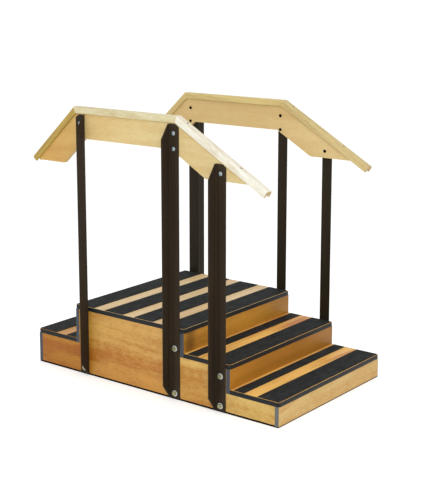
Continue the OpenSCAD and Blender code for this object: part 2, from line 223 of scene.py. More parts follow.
class StageSettings(bpy.types.PropertyGroup):
    """Floor, lights and camera."""

    floor: colour_prop("Floor", "Pale floor", "e6e6e4")
    world: FloatProperty(name="Ambient light", description="Strength of the pale surroundings",
                         default=0.82, min=0.0, max=4.0)
    key: FloatProperty(name="Key light", description="Power of the soft light beside the camera",
                       default=48.0, min=0.0, max=2000.0, subtype="POWER", unit="POWER")
    top: FloatProperty(name="Top light", description="Power of the soft light overhead",
                       default=16.0, min=0.0, max=2000.0, subtype="POWER", unit="POWER")
    azimuth: angle_prop("Camera azimuth", "Turn of the camera round the stairs", 38.01)
    elevation: angle_prop("Camera elevation", "Height of the camera as an angle", 10.56)
    distance: length_prop("Camera distance", "Distance from the camera to its aim", 5.1, 1.0, 20.0)
    aim: FloatVectorProperty(name="Camera aim", description="Point that the camera looks at",
                             default=(0.0224, 0.017, 0.7969), size=3, subtype="XYZ", unit="LENGTH")
    lens: FloatProperty(name="Lens", description="Focal length in millimetres", default=88.68,
                        min=20.0, max=200.0, subtype="DISTANCE_CAMERA")
    shift: FloatProperty(name="Rise", description="Vertical shift of the lens", default=-0.1,
                         min=-0.2, max=0.2)


# ---- finishes ----


class Finish:
    """One material: a Principled shader and the pattern nodes that feed it."""

    def __init__(self, name, sockets):
        self.material = bpy.data.materials.new(name)
        self.material.use_nodes = True
        self.nodes = self.material.node_tree.nodes
        self.links = self.material.node_tree.links
        self.nodes.clear()
        output = self.nodes.new("ShaderNodeOutputMaterial")
        self.shader = self.nodes.new("ShaderNodeBsdfPrincipled")
        self.links.new(self.shader.outputs["BSDF"], output.inputs["Surface"])
        for socket, value in sockets.items():
            self.shader.inputs[socket].default_value = value

    def add(self, kind, inputs, out=0, **settings):
        """Adds a node, sets or links its inputs, and returns one of its outputs."""
        node = self.nodes.new(kind)
        for key, value in settings.items():
            setattr(node, key, value)
        for key, value in inputs.items():
            if isinstance(value, bpy.types.NodeSocket):
                self.links.new(value, node.inputs[key])
            else:
                node.inputs[key].default_value = value
        return node.outputs[out]

    def to(self, socket, value):
        self.links.new(value, self.shader.inputs[socket])

    def grain(self):
        """Fibre coordinates of a piece: along the grain, across it and through the thickness."""
        return self.add("ShaderNodeAttribute", {}, "Vector", attribute_name="grain")

    def place(self):
        return self.add("ShaderNodeTexCoord", {}, "Object")

    def stretch(self, vector, scale, location=(0, 0, 0)):
        return self.add("ShaderNodeMapping", {"Vector": vector, "Scale": scale, "Location": location})

    def noise(self, vector, scale=1.0, detail=2.0, rough=0.5):
        return self.add("ShaderNodeTexNoise", {"Vector": vector, "Scale": scale, "Detail": detail,
                                               "Roughness": rough})

    def maths(self, operation, a, b=0.0, clamp=False):
        return self.add("ShaderNodeMath", {0: a, 1: b}, operation=operation, use_clamp=clamp)

    def centred(self, value, amount):
        """A pattern that runs from 0 to 1, moved to run from -amount/2 to amount/2."""
        return self.maths("MULTIPLY", self.maths("SUBTRACT", value, 0.5), amount)

    def remap(self, value, a, b, c, d):
        return self.add("ShaderNodeMapRange", {"Value": value, "From Min": a, "From Max": b,
                                               "To Min": c, "To Max": d})

    def split(self, vector, axis):
        return self.add("ShaderNodeSeparateXYZ", {0: vector}, axis)

    def blend(self, factor, a, b, mode="MIX"):
        return self.add("ShaderNodeMix", {0: factor, 6: a, 7: b}, 2, data_type="RGBA", blend_type=mode)

    def ramp(self, value, stops):
        node = self.nodes.new("ShaderNodeValToRGB")
        self.links.new(value, node.inputs[0])
        points = node.color_ramp.elements
        while len(points) < len(stops):
            points.new(0.5)
        for point, (position, colour) in zip(points, stops):
            point.position = position
            point.color = colour
        return node.outputs[0]

    def bump(self, height, strength, distance):
        self.to("Normal", self.add("ShaderNodeBump", {"Height": height, "Strength": strength,
                                                      "Distance": distance}))


def between(a, b, share):
    return tuple(p + (q - p) * share for p, q in zip(a, b))


def wood(name, light, dark, figure=0.5, streak=0.5, patch=0.5, lines=7.0, wander=0.03,
         mottle=0.3, curl=0.0, gloss=(0.38, 0.52), coat=0.06, shades=(), heart=None):
    """Lacquered wood. The fibres run along the first fibre coordinate.

    figure, streak, patch, mottle and curl weigh the flowing growth lines, the fine fibres, the
    slow drift of colour, the short flecks and the ripples across the grain. shades are
    (axis, start, end, stops): tints along a fibre axis. heart is (centre, rise, half_width,
    weight): a darker streak of heartwood that rises along the board."""
    look = Finish(name, {"Coat Weight": coat, "Coat Roughness": 0.3, "Specular IOR Level": 0.25})
    grain = look.grain()
    drift = look.noise(look.stretch(grain, (1.6, 5.0, 5.0)), detail=2.0)
    sway = look.add("ShaderNodeCombineXYZ", {1: look.centred(drift, wander)})
    bent = look.add("ShaderNodeVectorMath", {0: grain, 1: sway}, operation="ADD")
    field = look.noise(look.stretch(bent, (0.9, 6.5, 6.5), (3.1, 1.7, 0.4)), detail=1.0)
    wave = look.maths("SINE", look.maths("MULTIPLY", field, lines * 2 * math.pi))
    growth = look.maths("MULTIPLY", wave, 0.18 * figure)
    fibres = look.noise(look.stretch(bent, (5.0, 260.0, 260.0)), detail=3.0, rough=0.6)
    soft = look.noise(look.stretch(bent, (2.4, 42.0, 42.0), (7.3, 0.6, 2.2)), detail=3.0, rough=0.55)
    clouds = look.noise(look.stretch(grain, (3.0, 9.0, 9.0), (0.2, 5.1, 1.3)), detail=3.0)
    total = look.maths("ADD", growth, 0.42)
    total = look.maths("ADD", total, look.centred(fibres, 0.55 * streak))
    total = look.maths("ADD", total, look.centred(soft, 1.5 * streak))
    total = look.maths("ADD", total, look.centred(clouds, 1.6 * patch))
    flecked = look.noise(look.stretch(bent, (40.0, 115.0, 115.0), (4.4, 2.6, 0.9)), detail=4.0, rough=0.7)
    total = look.maths("ADD", total, look.centred(flecked, 1.8 * mottle))
    if curl:
        ripples = look.noise(look.stretch(bent, (19.0, 12.0, 12.0), (1.5, 3.3, 2.8)), detail=5.0, rough=0.68)
        total = look.maths("ADD", total, look.centred(ripples, 1.4 * curl))
    if heart:
        centre, rise, half_width, weight = heart
        along = look.maths("MULTIPLY", look.split(bent, 0), rise)
        height = look.maths("SUBTRACT", look.split(bent, 1), along)
        rough_edge = look.maths("ADD", height, look.centred(soft, 0.04))
        distance = look.maths("ABSOLUTE", look.maths("SUBTRACT", rough_edge, centre))
        band = look.remap(distance, half_width * 0.55, half_width, weight, 0.0)
        total = look.maths("ADD", total, band)
    total = look.maths("ADD", total, 0.0, clamp=True)
    stops = [(0.0, tinted(light, 1.14, 1.16, 1.2)), (0.35, tinted(light)),
             (0.7, (*between(light, dark, 0.55), 1.0)), (1.0, tinted(dark))]
    colour = look.ramp(total, stops)
    flecks = look.noise(look.stretch(bent, (40.0, 900.0, 900.0)), detail=1.0)
    pores = look.remap(flecks, 0.62, 0.72, 0.0, 0.35)
    colour = look.blend(pores, colour, tinted(dark, 0.85, 0.8, 0.75), "MIX")
    # shades darken or lighten a board along one axis; several carry painted light and shade as well as the
    # wood's own colour
    for axis, start, end, tints in shades:
        share = look.remap(look.split(bent, axis), start, end, 0.0, 1.0)
        colour = look.blend(1.0, colour, look.ramp(share, tints), "MULTIPLY")
    look.to("Base Color", colour)
    look.to("Roughness", look.remap(soft, 0.3, 0.7, gloss[0], gloss[1]))
    look.bump(look.maths("ADD", look.maths("MULTIPLY", fibres, 0.6), look.maths("MULTIPLY", pores, -1.0)),
              0.12, 0.0004)
    return look.material


def ply_edge(name, pale, dark, layers, thickness=0.018):
    """Edge of a plywood board: thin layers, every other one end grain."""
    look = Finish(name, {"Specular IOR Level": 0.3})
    grain = look.grain()
    waver = look.noise(look.stretch(grain, (14.0, 14.0, 60.0)), detail=2.0)
    depth = look.maths("ADD", look.split(grain, 2), look.centred(waver, 0.0006))
    turns = look.maths("MULTIPLY", depth, math.pi * layers / thickness)
    stripe = look.remap(look.maths("SINE", turns), -0.35, 0.35, 0.0, 1.0)
    fibres = look.noise(look.stretch(grain, (160.0, 160.0, 700.0)), detail=3.0, rough=0.65)
    clouds = look.noise(look.stretch(grain, (9.0, 9.0, 40.0)), detail=2.0)
    tone = look.maths("ADD", look.maths("MULTIPLY", stripe, 0.55), look.centred(fibres, 0.5))
    tone = look.maths("ADD", tone, look.centred(clouds, 0.5), clamp=True)
    look.to("Base Color", look.ramp(tone, [(0.0, tinted(pale)), (0.45, (*between(pale, dark, 0.35), 1.0)),
                                           (1.0, tinted(dark))]))
    look.to("Roughness", look.remap(fibres, 0.3, 0.7, 0.5, 0.7))
    look.bump(look.maths("ADD", fibres, look.maths("MULTIPLY", stripe, -0.5)), 0.25, 0.0003)
    return look.material


def banding(name, colour, shine=0.4):
    """Satin plastic edge banding with fine drag lines and scuffed patches."""
    look = Finish(name, {"Specular IOR Level": shine})
    place = look.place()
    drag = look.noise(look.stretch(place, (9.0, 9.0, 900.0)), detail=2.0)
    scuffs = look.noise(look.stretch(place, (6.0, 6.0, 18.0)), detail=4.0, rough=0.6)
    specks = look.noise(place, 700.0, detail=1.0)
    tone = look.maths("ADD", look.centred(scuffs, 1.1), look.centred(drag, 0.5))
    tone = look.maths("ADD", tone, 0.5, clamp=True)
    look.to("Base Color", look.ramp(tone, [(0.0, tinted(colour, 0.78, 0.8, 0.82)), (0.5, tinted(colour)),
                                           (1.0, tinted(colour, 1.35, 1.32, 1.3))]))
    look.to("Roughness", look.remap(scuffs, 0.3, 0.7, 0.36, 0.55))
    look.bump(look.maths("ADD", drag, look.maths("MULTIPLY", specks, 0.3)), 0.1, 0.0002)
    return look.material


def grip_rubber(name, colour):
    """Anti-slip strip: a fine mineral grit in dark rubber, worn a little smoother in patches."""
    look = Finish(name, {"Specular IOR Level": 0.08})
    place = look.place()
    grit = look.add("ShaderNodeTexVoronoi", {"Vector": place, "Scale": 850.0}, "Distance")
    grains = look.noise(place, 1500.0, detail=2.0, rough=0.7)
    mottle = look.noise(look.stretch(place, (60.0, 22.0, 60.0)), detail=4.0, rough=0.7)
    wear = look.noise(look.stretch(place, (7.0, 3.0, 7.0)), detail=2.0)
    tone = look.maths("ADD", look.centred(mottle, 2.2), look.centred(wear, 1.0))
    tone = look.maths("ADD", tone, look.centred(grains, 1.1))
    tone = look.maths("ADD", tone, 0.5, clamp=True)
    look.to("Base Color", look.ramp(tone, [(0.0, tinted(colour, 0.5, 0.5, 0.52)), (0.5, tinted(colour)),
                                           (1.0, tinted(colour, 1.8, 1.8, 1.85))]))
    look.to("Roughness", look.remap(wear, 0.3, 0.7, 0.66, 0.84))
    look.bump(look.maths("ADD", grit, look.maths("MULTIPLY", grains, 0.6)), 0.55, 0.0006)
    return look.material


def runner_plastic(name, colour):
    """Black moulded plastic, slightly scuffed where it meets the floor."""
    look = Finish(name, {"Specular IOR Level": 0.05})
    place = look.place()
    scuffs = look.noise(look.stretch(place, (30.0, 30.0, 120.0)), detail=4.0, rough=0.65)
    orange = look.noise(place, 600.0, detail=1.0)
    look.to("Base Color", look.ramp(scuffs, [(0.3, tinted(colour, 0.6, 0.6, 0.6)),
                                             (0.75, tinted(colour, 2.4, 2.4, 2.4))]))
    look.to("Roughness", look.remap(scuffs, 0.3, 0.7, 0.42, 0.62))
    look.bump(orange, 0.15, 0.0002)
    return look.material


def powder_coat(name, colour):
    """Semi-gloss powder coat on steel, with its fine orange peel."""
    look = Finish(name, {"Specular IOR Level": 0.08})
    place = look.place()
    peel = look.noise(place, 420.0, detail=2.0)
    streaks = look.noise(look.stretch(place, (120.0, 120.0, 1.2)), detail=2.0)
    clouds = look.noise(look.stretch(place, (14.0, 14.0, 3.0)), detail=3.0)
    tone = look.maths("ADD", look.centred(streaks, 0.8), look.centred(clouds, 0.9))
    tone = look.maths("ADD", tone, 0.5, clamp=True)
    look.to("Base Color", look.ramp(tone, [(0.0, tinted(colour, 0.72, 0.72, 0.72)), (0.5, tinted(colour)),
                                           (1.0, tinted(colour, 1.35, 1.3, 1.28))]))
    look.to("Roughness", look.remap(clouds, 0.3, 0.7, 0.36, 0.5))
    look.bump(peel, 0.12, 0.0003)
    return look.material


def metal(name, colour, rough, stain, metallic=1.0):
    """Plated metal with fine scratches and a stain that gathers in cloudy patches."""
    look = Finish(name, {"Metallic": metallic})
    place = look.place()
    clouds = look.noise(place, 160.0, detail=3.0, rough=0.6)
    turning = look.noise(look.stretch(place, (900.0, 900.0, 900.0)), detail=2.0)
    look.to("Base Color", look.blend(look.remap(clouds, 0.45, 0.75, 0.0, 0.6), tinted(colour), stain))
    look.to("Roughness", look.remap(clouds, 0.3, 0.7, rough[0], rough[1]))
    look.bump(turning, 0.1, 0.0002)
    return look.material


def floor_finish(name, colour):
    """Matt studio floor, all but even."""
    look = Finish(name, {"Specular IOR Level": 0.1, "Emission Color": WHITE,
                         "Emission Strength": FLOOR_GLOW})
    clouds = look.noise(look.place(), 0.8, detail=3.0)
    look.to("Base Color", look.ramp(clouds, [(0.3, tinted(colour, 0.985, 0.985, 0.985)),
                                             (0.7, tinted(colour))]))
    look.to("Roughness", look.remap(clouds, 0.3, 0.7, 0.75, 0.85))
    return look.material


# ---- mesh work ----


def recalculated(bm):
    bmesh.ops.remove_doubles(bm, verts=bm.verts, dist=1e-7)
    bmesh.ops.recalc_face_normals(bm, faces=bm.faces)
    return bm


def prism(outline, start, end, place):
    """A closed solid: the outline's (u, v) points carried from start to end; place(u, v, w) is a point."""
    bm = bmesh.new()
    ends = [[bm.verts.new(place(u, v, w)) for u, v in outline] for w in (start, end)]
    count = len(outline)
    bm.faces.new(ends[0])
    bm.faces.new(ends[1])
    for i in range(count):
        j = (i + 1) % count
        bm.faces.new((ends[0][i], ends[0][j], ends[1][j], ends[1][i]))
    return recalculated(bm)


def along_y(u, v, w):
    return (u, w, v)


def along_z(u, v, w):
    return (u, v, w)


def plank(lowest, highest):
    """A box between two corners."""
    left, front = lowest[:2]
    right, back = highest[:2]
    outline = [(left, front), (right, front), (right, back), (left, back)]
    return prism(outline, lowest[2], highest[2], along_z)


def lathe(profile, sides=32):
    """A closed solid turned round Z from (radius, height) points; the first and last lie on the axis."""
    bm = bmesh.new()
    rings = []
    for radius, height in profile[1:-1]:
        rings.append([bm.verts.new((radius * math.cos(2 * math.pi * i / sides),
                                    radius * math.sin(2 * math.pi * i / sides), height))
                      for i in range(sides)])
    foot = bm.verts.new((0, 0, profile[0][1]))
    head = bm.verts.new((0, 0, profile[-1][1]))
    for i in range(sides):
        j = (i + 1) % sides
        bm.faces.new((foot, rings[0][j], rings[0][i]))
        bm.faces.new((head, rings[-1][i], rings[-1][j]))
        for lower, upper in zip(rings, rings[1:]):
            bm.faces.new((lower[i], lower[j], upper[j], upper[i]))
    return recalculated(bm)


def ease(bm, width, segments=2, picked=None):
    """Rounds the sharp edges, or the picked ones among them."""
    edges = [e for e in bm.edges if len(e.link_faces) == 2 and e.calc_face_angle(0.0) > math.radians(28)
             and (picked is None or picked(e))]
    bmesh.ops.bevel(bm, geom=edges, offset=width, offset_type="OFFSET", segments=segments,
                    profile=0.5, affect="EDGES", clamp_overlap=True)
    return bm


def joined(parts):
    """Several solids as one mesh."""
    whole = bmesh.new()
    for part in parts:
        mesh = bpy.data.meshes.new("part")
        part.to_mesh(mesh)
        part.free()
        whole.from_mesh(mesh)
        bpy.data.meshes.remove(mesh)
    return whole


def link(name, bm):
    """Makes an object of a mesh in progress."""
    mesh = bpy.data.meshes.new(name)
    bm.to_mesh(mesh)
    bm.free()
    thing = bpy.data.objects.new(name, mesh)
    bpy.context.scene.collection.objects.link(thing)
    return thing


def settle(thing):
    """Turns an object's modifiers into its plain mesh."""
    bpy.context.view_layer.update()
    evaluated = thing.evaluated_get(bpy.context.evaluated_depsgraph_get())
    mesh = bpy.data.meshes.new_from_object(evaluated)
    thing.modifiers.clear()
    old = thing.data
    thing.data = mesh
    bpy.data.meshes.remove(old)
    mesh.name = thing.name
    return thing


def discard(thing):
    mesh = thing.data
    bpy.data.objects.remove(thing)
    bpy.data.meshes.remove(mesh)


def cut(thing, cutter, operation="DIFFERENCE"):
    """Cuts one solid with another, which is used up."""
    tool = link("cutter", cutter)
    modifier = thing.modifiers.new("cut", "BOOLEAN")
    modifier.operation = operation
    modifier.solver = "EXACT"
    modifier.object = tool
    settle(thing)
    discard(tool)
    return thing


def rods(spots, radius):
    """Round cutters along Y through the given points."""
    profile = [(0, -BOLT_REACH), (radius, -BOLT_REACH), (radius, BOLT_REACH), (0, BOLT_REACH)]
    along = Matrix.Rotation(math.pi / 2, 4, "X")
    parts = []
    for spot in spots:
        rod = lathe(profile)
        bmesh.ops.transform(rod, matrix=Matrix.Translation(spot) @ along, verts=rod.verts)
        parts.append(rod)
    return joined(parts)


def solids(node):
    """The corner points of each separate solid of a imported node."""
    bm = bmesh.new()
    bm.from_mesh(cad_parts[node].data)
    bmesh.ops.remove_doubles(bm, verts=bm.verts, dist=1e-6)
    left = set(bm.verts)
    groups = []
    for first in list(bm.verts):
        if first not in left:
            continue
        left.discard(first)
        stack = [first]
        group = []
        while stack:
            vert = stack.pop()
            group.append(vert.co.copy())
            for edge in vert.link_edges:
                other = edge.other_vert(vert)
                if other in left:
                    left.discard(other)
                    stack.append(other)
        groups.append(group)
    bm.free()
    return groups


def corners(points):
    lowest = Vector([min(p[i] for p in points) for i in range(3)])
    highest = Vector([max(p[i] for p in points) for i in range(3)])
    return lowest, highest


def boxes(node):
    """The lowest and highest corners of each separate solid, in a fixed order."""
    found = [corners(points) for points in solids(node)]
    return sorted(found, key=lambda b: tuple(round(c, 5) for c in b[0]))


def centres(node):
    """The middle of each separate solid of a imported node, in the order of boxes()."""
    return [(lowest + highest) / 2 for lowest, highest in boxes(node)]


def drill(thing, spots, side, sizes):
    """Drills the bolt holes of one side of the stairs through a piece."""
    own = [spot for spot in spots if (spot.y < 0) == (side == "near")]
    cut(thing, rods(own, sizes.bolt / 2 + BOLT_CLEARANCE))


# Fibre directions: which axis runs along the grain, which across it and which through the board
ALONG_X = Matrix(((1, 0, 0), (0, 0, 1), (0, 1, 0)))
ALONG_Y_UPRIGHT = Matrix(((0, 1, 0), (0, 0, 1), (1, 0, 0)))
ALONG_Y_FLAT = Matrix(((0, 1, 0), (1, 0, 0), (0, 0, 1)))
ALONG_Z = Matrix(((0, 0, 1), (1, 0, 0), (0, 1, 0)))


def mark_grain(thing, turn, start, offset=(0, 0, 0)):
    """Stores each point's fibre coordinates, measured from start."""
    values = []
    for vert in thing.data.vertices:
        values.extend(turn @ (vert.co - Vector(start)) + Vector(offset))
    attribute = thing.data.attributes.new("grain", "FLOAT_VECTOR", "POINT")
    attribute.data.foreach_set("vector", values)


def edges_of(axis):
    """Picks the faces of a board that don't look along the given axis."""
    return lambda face: abs(face.normal[axis]) < BOARD_FACING


def finish_piece(thing, materials, nodes, second=None):
    """Shades a piece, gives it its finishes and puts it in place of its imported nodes.

    Faces for which second(face) is true take the second finish."""
    mesh = thing.data
    mesh.materials.clear()
    for material in materials:
        mesh.materials.append(material)
    for face in mesh.polygons:
        face.use_smooth = True
        face.material_index = 1 if second and second(face) else 0
    mesh.set_sharp_from_angle(angle=math.radians(SHARP_ANGLE))
    weighted = thing.modifiers.new("normals", "WEIGHTED_NORMAL")
    weighted.keep_sharp = True
    weighted.weight = 60
    settle(thing)
    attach(thing, BODY)
    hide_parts(*nodes)
    return thing


# ---- handrail geometry ----


class Rail:
    """The handrail in side view: mitres, slopes, and points a depth below the cap's top."""

    def __init__(self, sizes):
        self.left_slope = sizes.left_slope
        self.right_slope = sizes.right_slope
        self.top = high("near_level_cap").z
        self.left = low("near_level_cap").x
        self.right = high("near_level_cap").x

    def left_mitre(self, d):
        return Vector((self.left + d * math.tan(self.left_slope / 2), self.top - d))

    def right_mitre(self, d):
        return Vector((self.right - d * math.tan(self.right_slope / 2), self.top - d))

    def left_at(self, d, z):
        drop = self.top - z - d / math.cos(self.left_slope)
        return Vector((self.left - drop / math.tan(self.left_slope), z))

    def right_at(self, d, z):
        drop = self.top - z - d / math.cos(self.right_slope)
        return Vector((self.right + drop / math.tan(self.right_slope), z))


def rounded(points):
    """An outline whose corners are rounded; each point is (position, radius)."""
    outline = []
    count = len(points)
    for i, (corner, radius) in enumerate(points):
        if radius <= 0:
            outline.append(tuple(corner))
            continue
        before = (points[i - 1][0] - corner).normalized()
        after = (points[(i + 1) % count][0] - corner).normalized()
        half = before.angle(after) / 2
        centre = corner + (before + after).normalized() * (radius / math.sin(half))
        start = corner + before * (radius / math.tan(half)) - centre
        stop = corner + after * (radius / math.tan(half)) - centre
        sweep = math.atan2(start.x * stop.y - start.y * stop.x, start.dot(stop))
        steps = max(3, round(abs(sweep) / math.radians(14)))
        for k in range(steps + 1):
            turned = Matrix.Rotation(sweep * k / steps, 2) @ start
            outline.append(tuple(centre + turned))
    return outline


# ---- geometry nodes ----


def new_tree(name, inputs):
    """A geometry tree with a geometry input, the named inputs and a geometry output."""
    tree = bpy.data.node_groups.new(name, "GeometryNodeTree")
    tree.interface.new_socket("Geometry", in_out="INPUT", socket_type="NodeSocketGeometry")
    for label, kind in inputs:
        tree.interface.new_socket(label, in_out="INPUT", socket_type=kind)
    tree.interface.new_socket("Geometry", in_out="OUTPUT", socket_type="NodeSocketGeometry")
    return tree


def tree_node(tree, kind, inputs, **settings):
    node = tree.nodes.new(kind)
    for key, value in settings.items():
        setattr(node, key, value)
    for key, value in inputs.items():
        if isinstance(value, bpy.types.NodeSocket):
            tree.links.new(value, node.inputs[key])
        else:
            node.inputs[key].default_value = value
    return node


def send_out(tree, node, finish):
    """Makes a node's geometry real, gives it the finish and sends it out of the tree."""
    real = tree_node(tree, "GeometryNodeRealizeInstances", {"Geometry": node.outputs[0]})
    done = tree_node(tree, "GeometryNodeSetMaterial", {"Geometry": real.outputs[0], "Material": finish})
    result = tree.nodes.new("NodeGroupOutput")
    tree.links.new(done.outputs[0], result.inputs[0])
    return tree


def fastener_tree():
    """Sets a head and a shank at every point, facing along the point's direction."""
    tree = new_tree("Fastener row", [
        ("Head", "NodeSocketObject"), ("Head diameter", "NodeSocketFloat"),
        ("Head height", "NodeSocketFloat"), ("Shank diameter", "NodeSocketFloat"),
        ("Shank length", "NodeSocketFloat"), ("Turn spread", "NodeSocketFloat"),
        ("Seed", "NodeSocketInt"), ("Finish", "NodeSocketMaterial")])
    given = tree.nodes.new("NodeGroupInput").outputs
    head = tree_node(tree, "GeometryNodeObjectInfo", {"Object": given["Head"]})
    scale = tree_node(tree, "ShaderNodeCombineXYZ", {"X": given["Head diameter"], "Y": given["Head diameter"],
                                                     "Z": given["Head height"]})
    head = tree_node(tree, "GeometryNodeTransform", {"Geometry": head.outputs["Geometry"],
                                                     "Scale": scale.outputs[0]})
    radius = tree_node(tree, "ShaderNodeMath", {0: given["Shank diameter"], 1: 0.5}, operation="MULTIPLY")
    shank = tree_node(tree, "GeometryNodeMeshCylinder", {"Vertices": 32, "Radius": radius.outputs[0],
                                                         "Depth": given["Shank length"]})
    drop = tree_node(tree, "ShaderNodeMath", {0: given["Shank length"], 1: -0.5}, operation="MULTIPLY")
    below = tree_node(tree, "ShaderNodeCombineXYZ", {"Z": drop.outputs[0]})
    shank = tree_node(tree, "GeometryNodeTransform", {"Geometry": shank.outputs["Mesh"],
                                                      "Translation": below.outputs[0]})
    both = tree_node(tree, "GeometryNodeJoinGeometry", {})
    for part in (shank, head):
        tree.links.new(part.outputs["Geometry"], both.inputs["Geometry"])
    facing = tree_node(tree, "GeometryNodeInputNamedAttribute", {"Name": "facing"},
                       data_type="FLOAT_VECTOR")
    aim = tree_node(tree, "FunctionNodeAlignRotationToVector", {"Vector": facing.outputs["Attribute"]},
                    axis="Z")
    back = tree_node(tree, "ShaderNodeMath", {0: given["Turn spread"], 1: -1.0}, operation="MULTIPLY")
    turn = tree_node(tree, "FunctionNodeRandomValue", {2: back.outputs[0], 3: given["Turn spread"],
                                                       "Seed": given["Seed"]}, data_type="FLOAT")
    roll = tree_node(tree, "FunctionNodeAxisAngleToRotation", {"Axis": (0, 0, 1), "Angle": turn.outputs[1]})
    rotation = tree_node(tree, "FunctionNodeRotateRotation",
                         {"Rotation": aim.outputs[0], "Rotate By": roll.outputs[0]},
                         rotation_space="LOCAL")
    rows = tree_node(tree, "GeometryNodeInstanceOnPoints", {"Points": given["Geometry"],
                                                            "Instance": both.outputs[0],
                                                            "Rotation": rotation.outputs[0]})
    return send_out(tree, rows, given["Finish"])


def banding_tree():
    """Sweeps a rounded strip, standing on edge, along the path it is given."""
    tree = new_tree("Edge banding", [
        ("Thickness", "NodeSocketFloat"), ("Height", "NodeSocketFloat"), ("Easing", "NodeSocketFloat"),
        ("Finish", "NodeSocketMaterial")])
    given = tree.nodes.new("NodeGroupInput").outputs
    path = tree_node(tree, "GeometryNodeMeshToCurve", {"Mesh": given["Geometry"]})
    path = tree_node(tree, "GeometryNodeSetCurveNormal", {"Curve": path.outputs[0]}, mode="Z_UP")
    strip = tree_node(tree, "GeometryNodeCurvePrimitiveQuadrilateral", {"Width": given["Thickness"],
                                                                        "Height": given["Height"]})
    strip = tree_node(tree, "GeometryNodeFilletCurve", {"Curve": strip.outputs[0], "Radius": given["Easing"],
                                                        "Count": 2}, mode="POLY")
    swept = tree_node(tree, "GeometryNodeCurveToMesh", {"Curve": path.outputs[0],
                                                        "Profile Curve": strip.outputs[0], "Fill Caps": True})
    return send_out(tree, swept, given["Finish"])


def run_tree(thing, tree, values):
    """Runs a tree on an object with the given inputs and keeps the result as its mesh."""
    modifier = thing.modifiers.new("nodes", "NODES")
    modifier.node_group = tree
    names = {item.name: item.identifier for item in tree.interface.items_tree
             if item.item_type == "SOCKET" and item.in_out == "INPUT"}
    for label, value in values.items():
        modifier[names[label]] = value
    return settle(thing)


# ---- operators ----


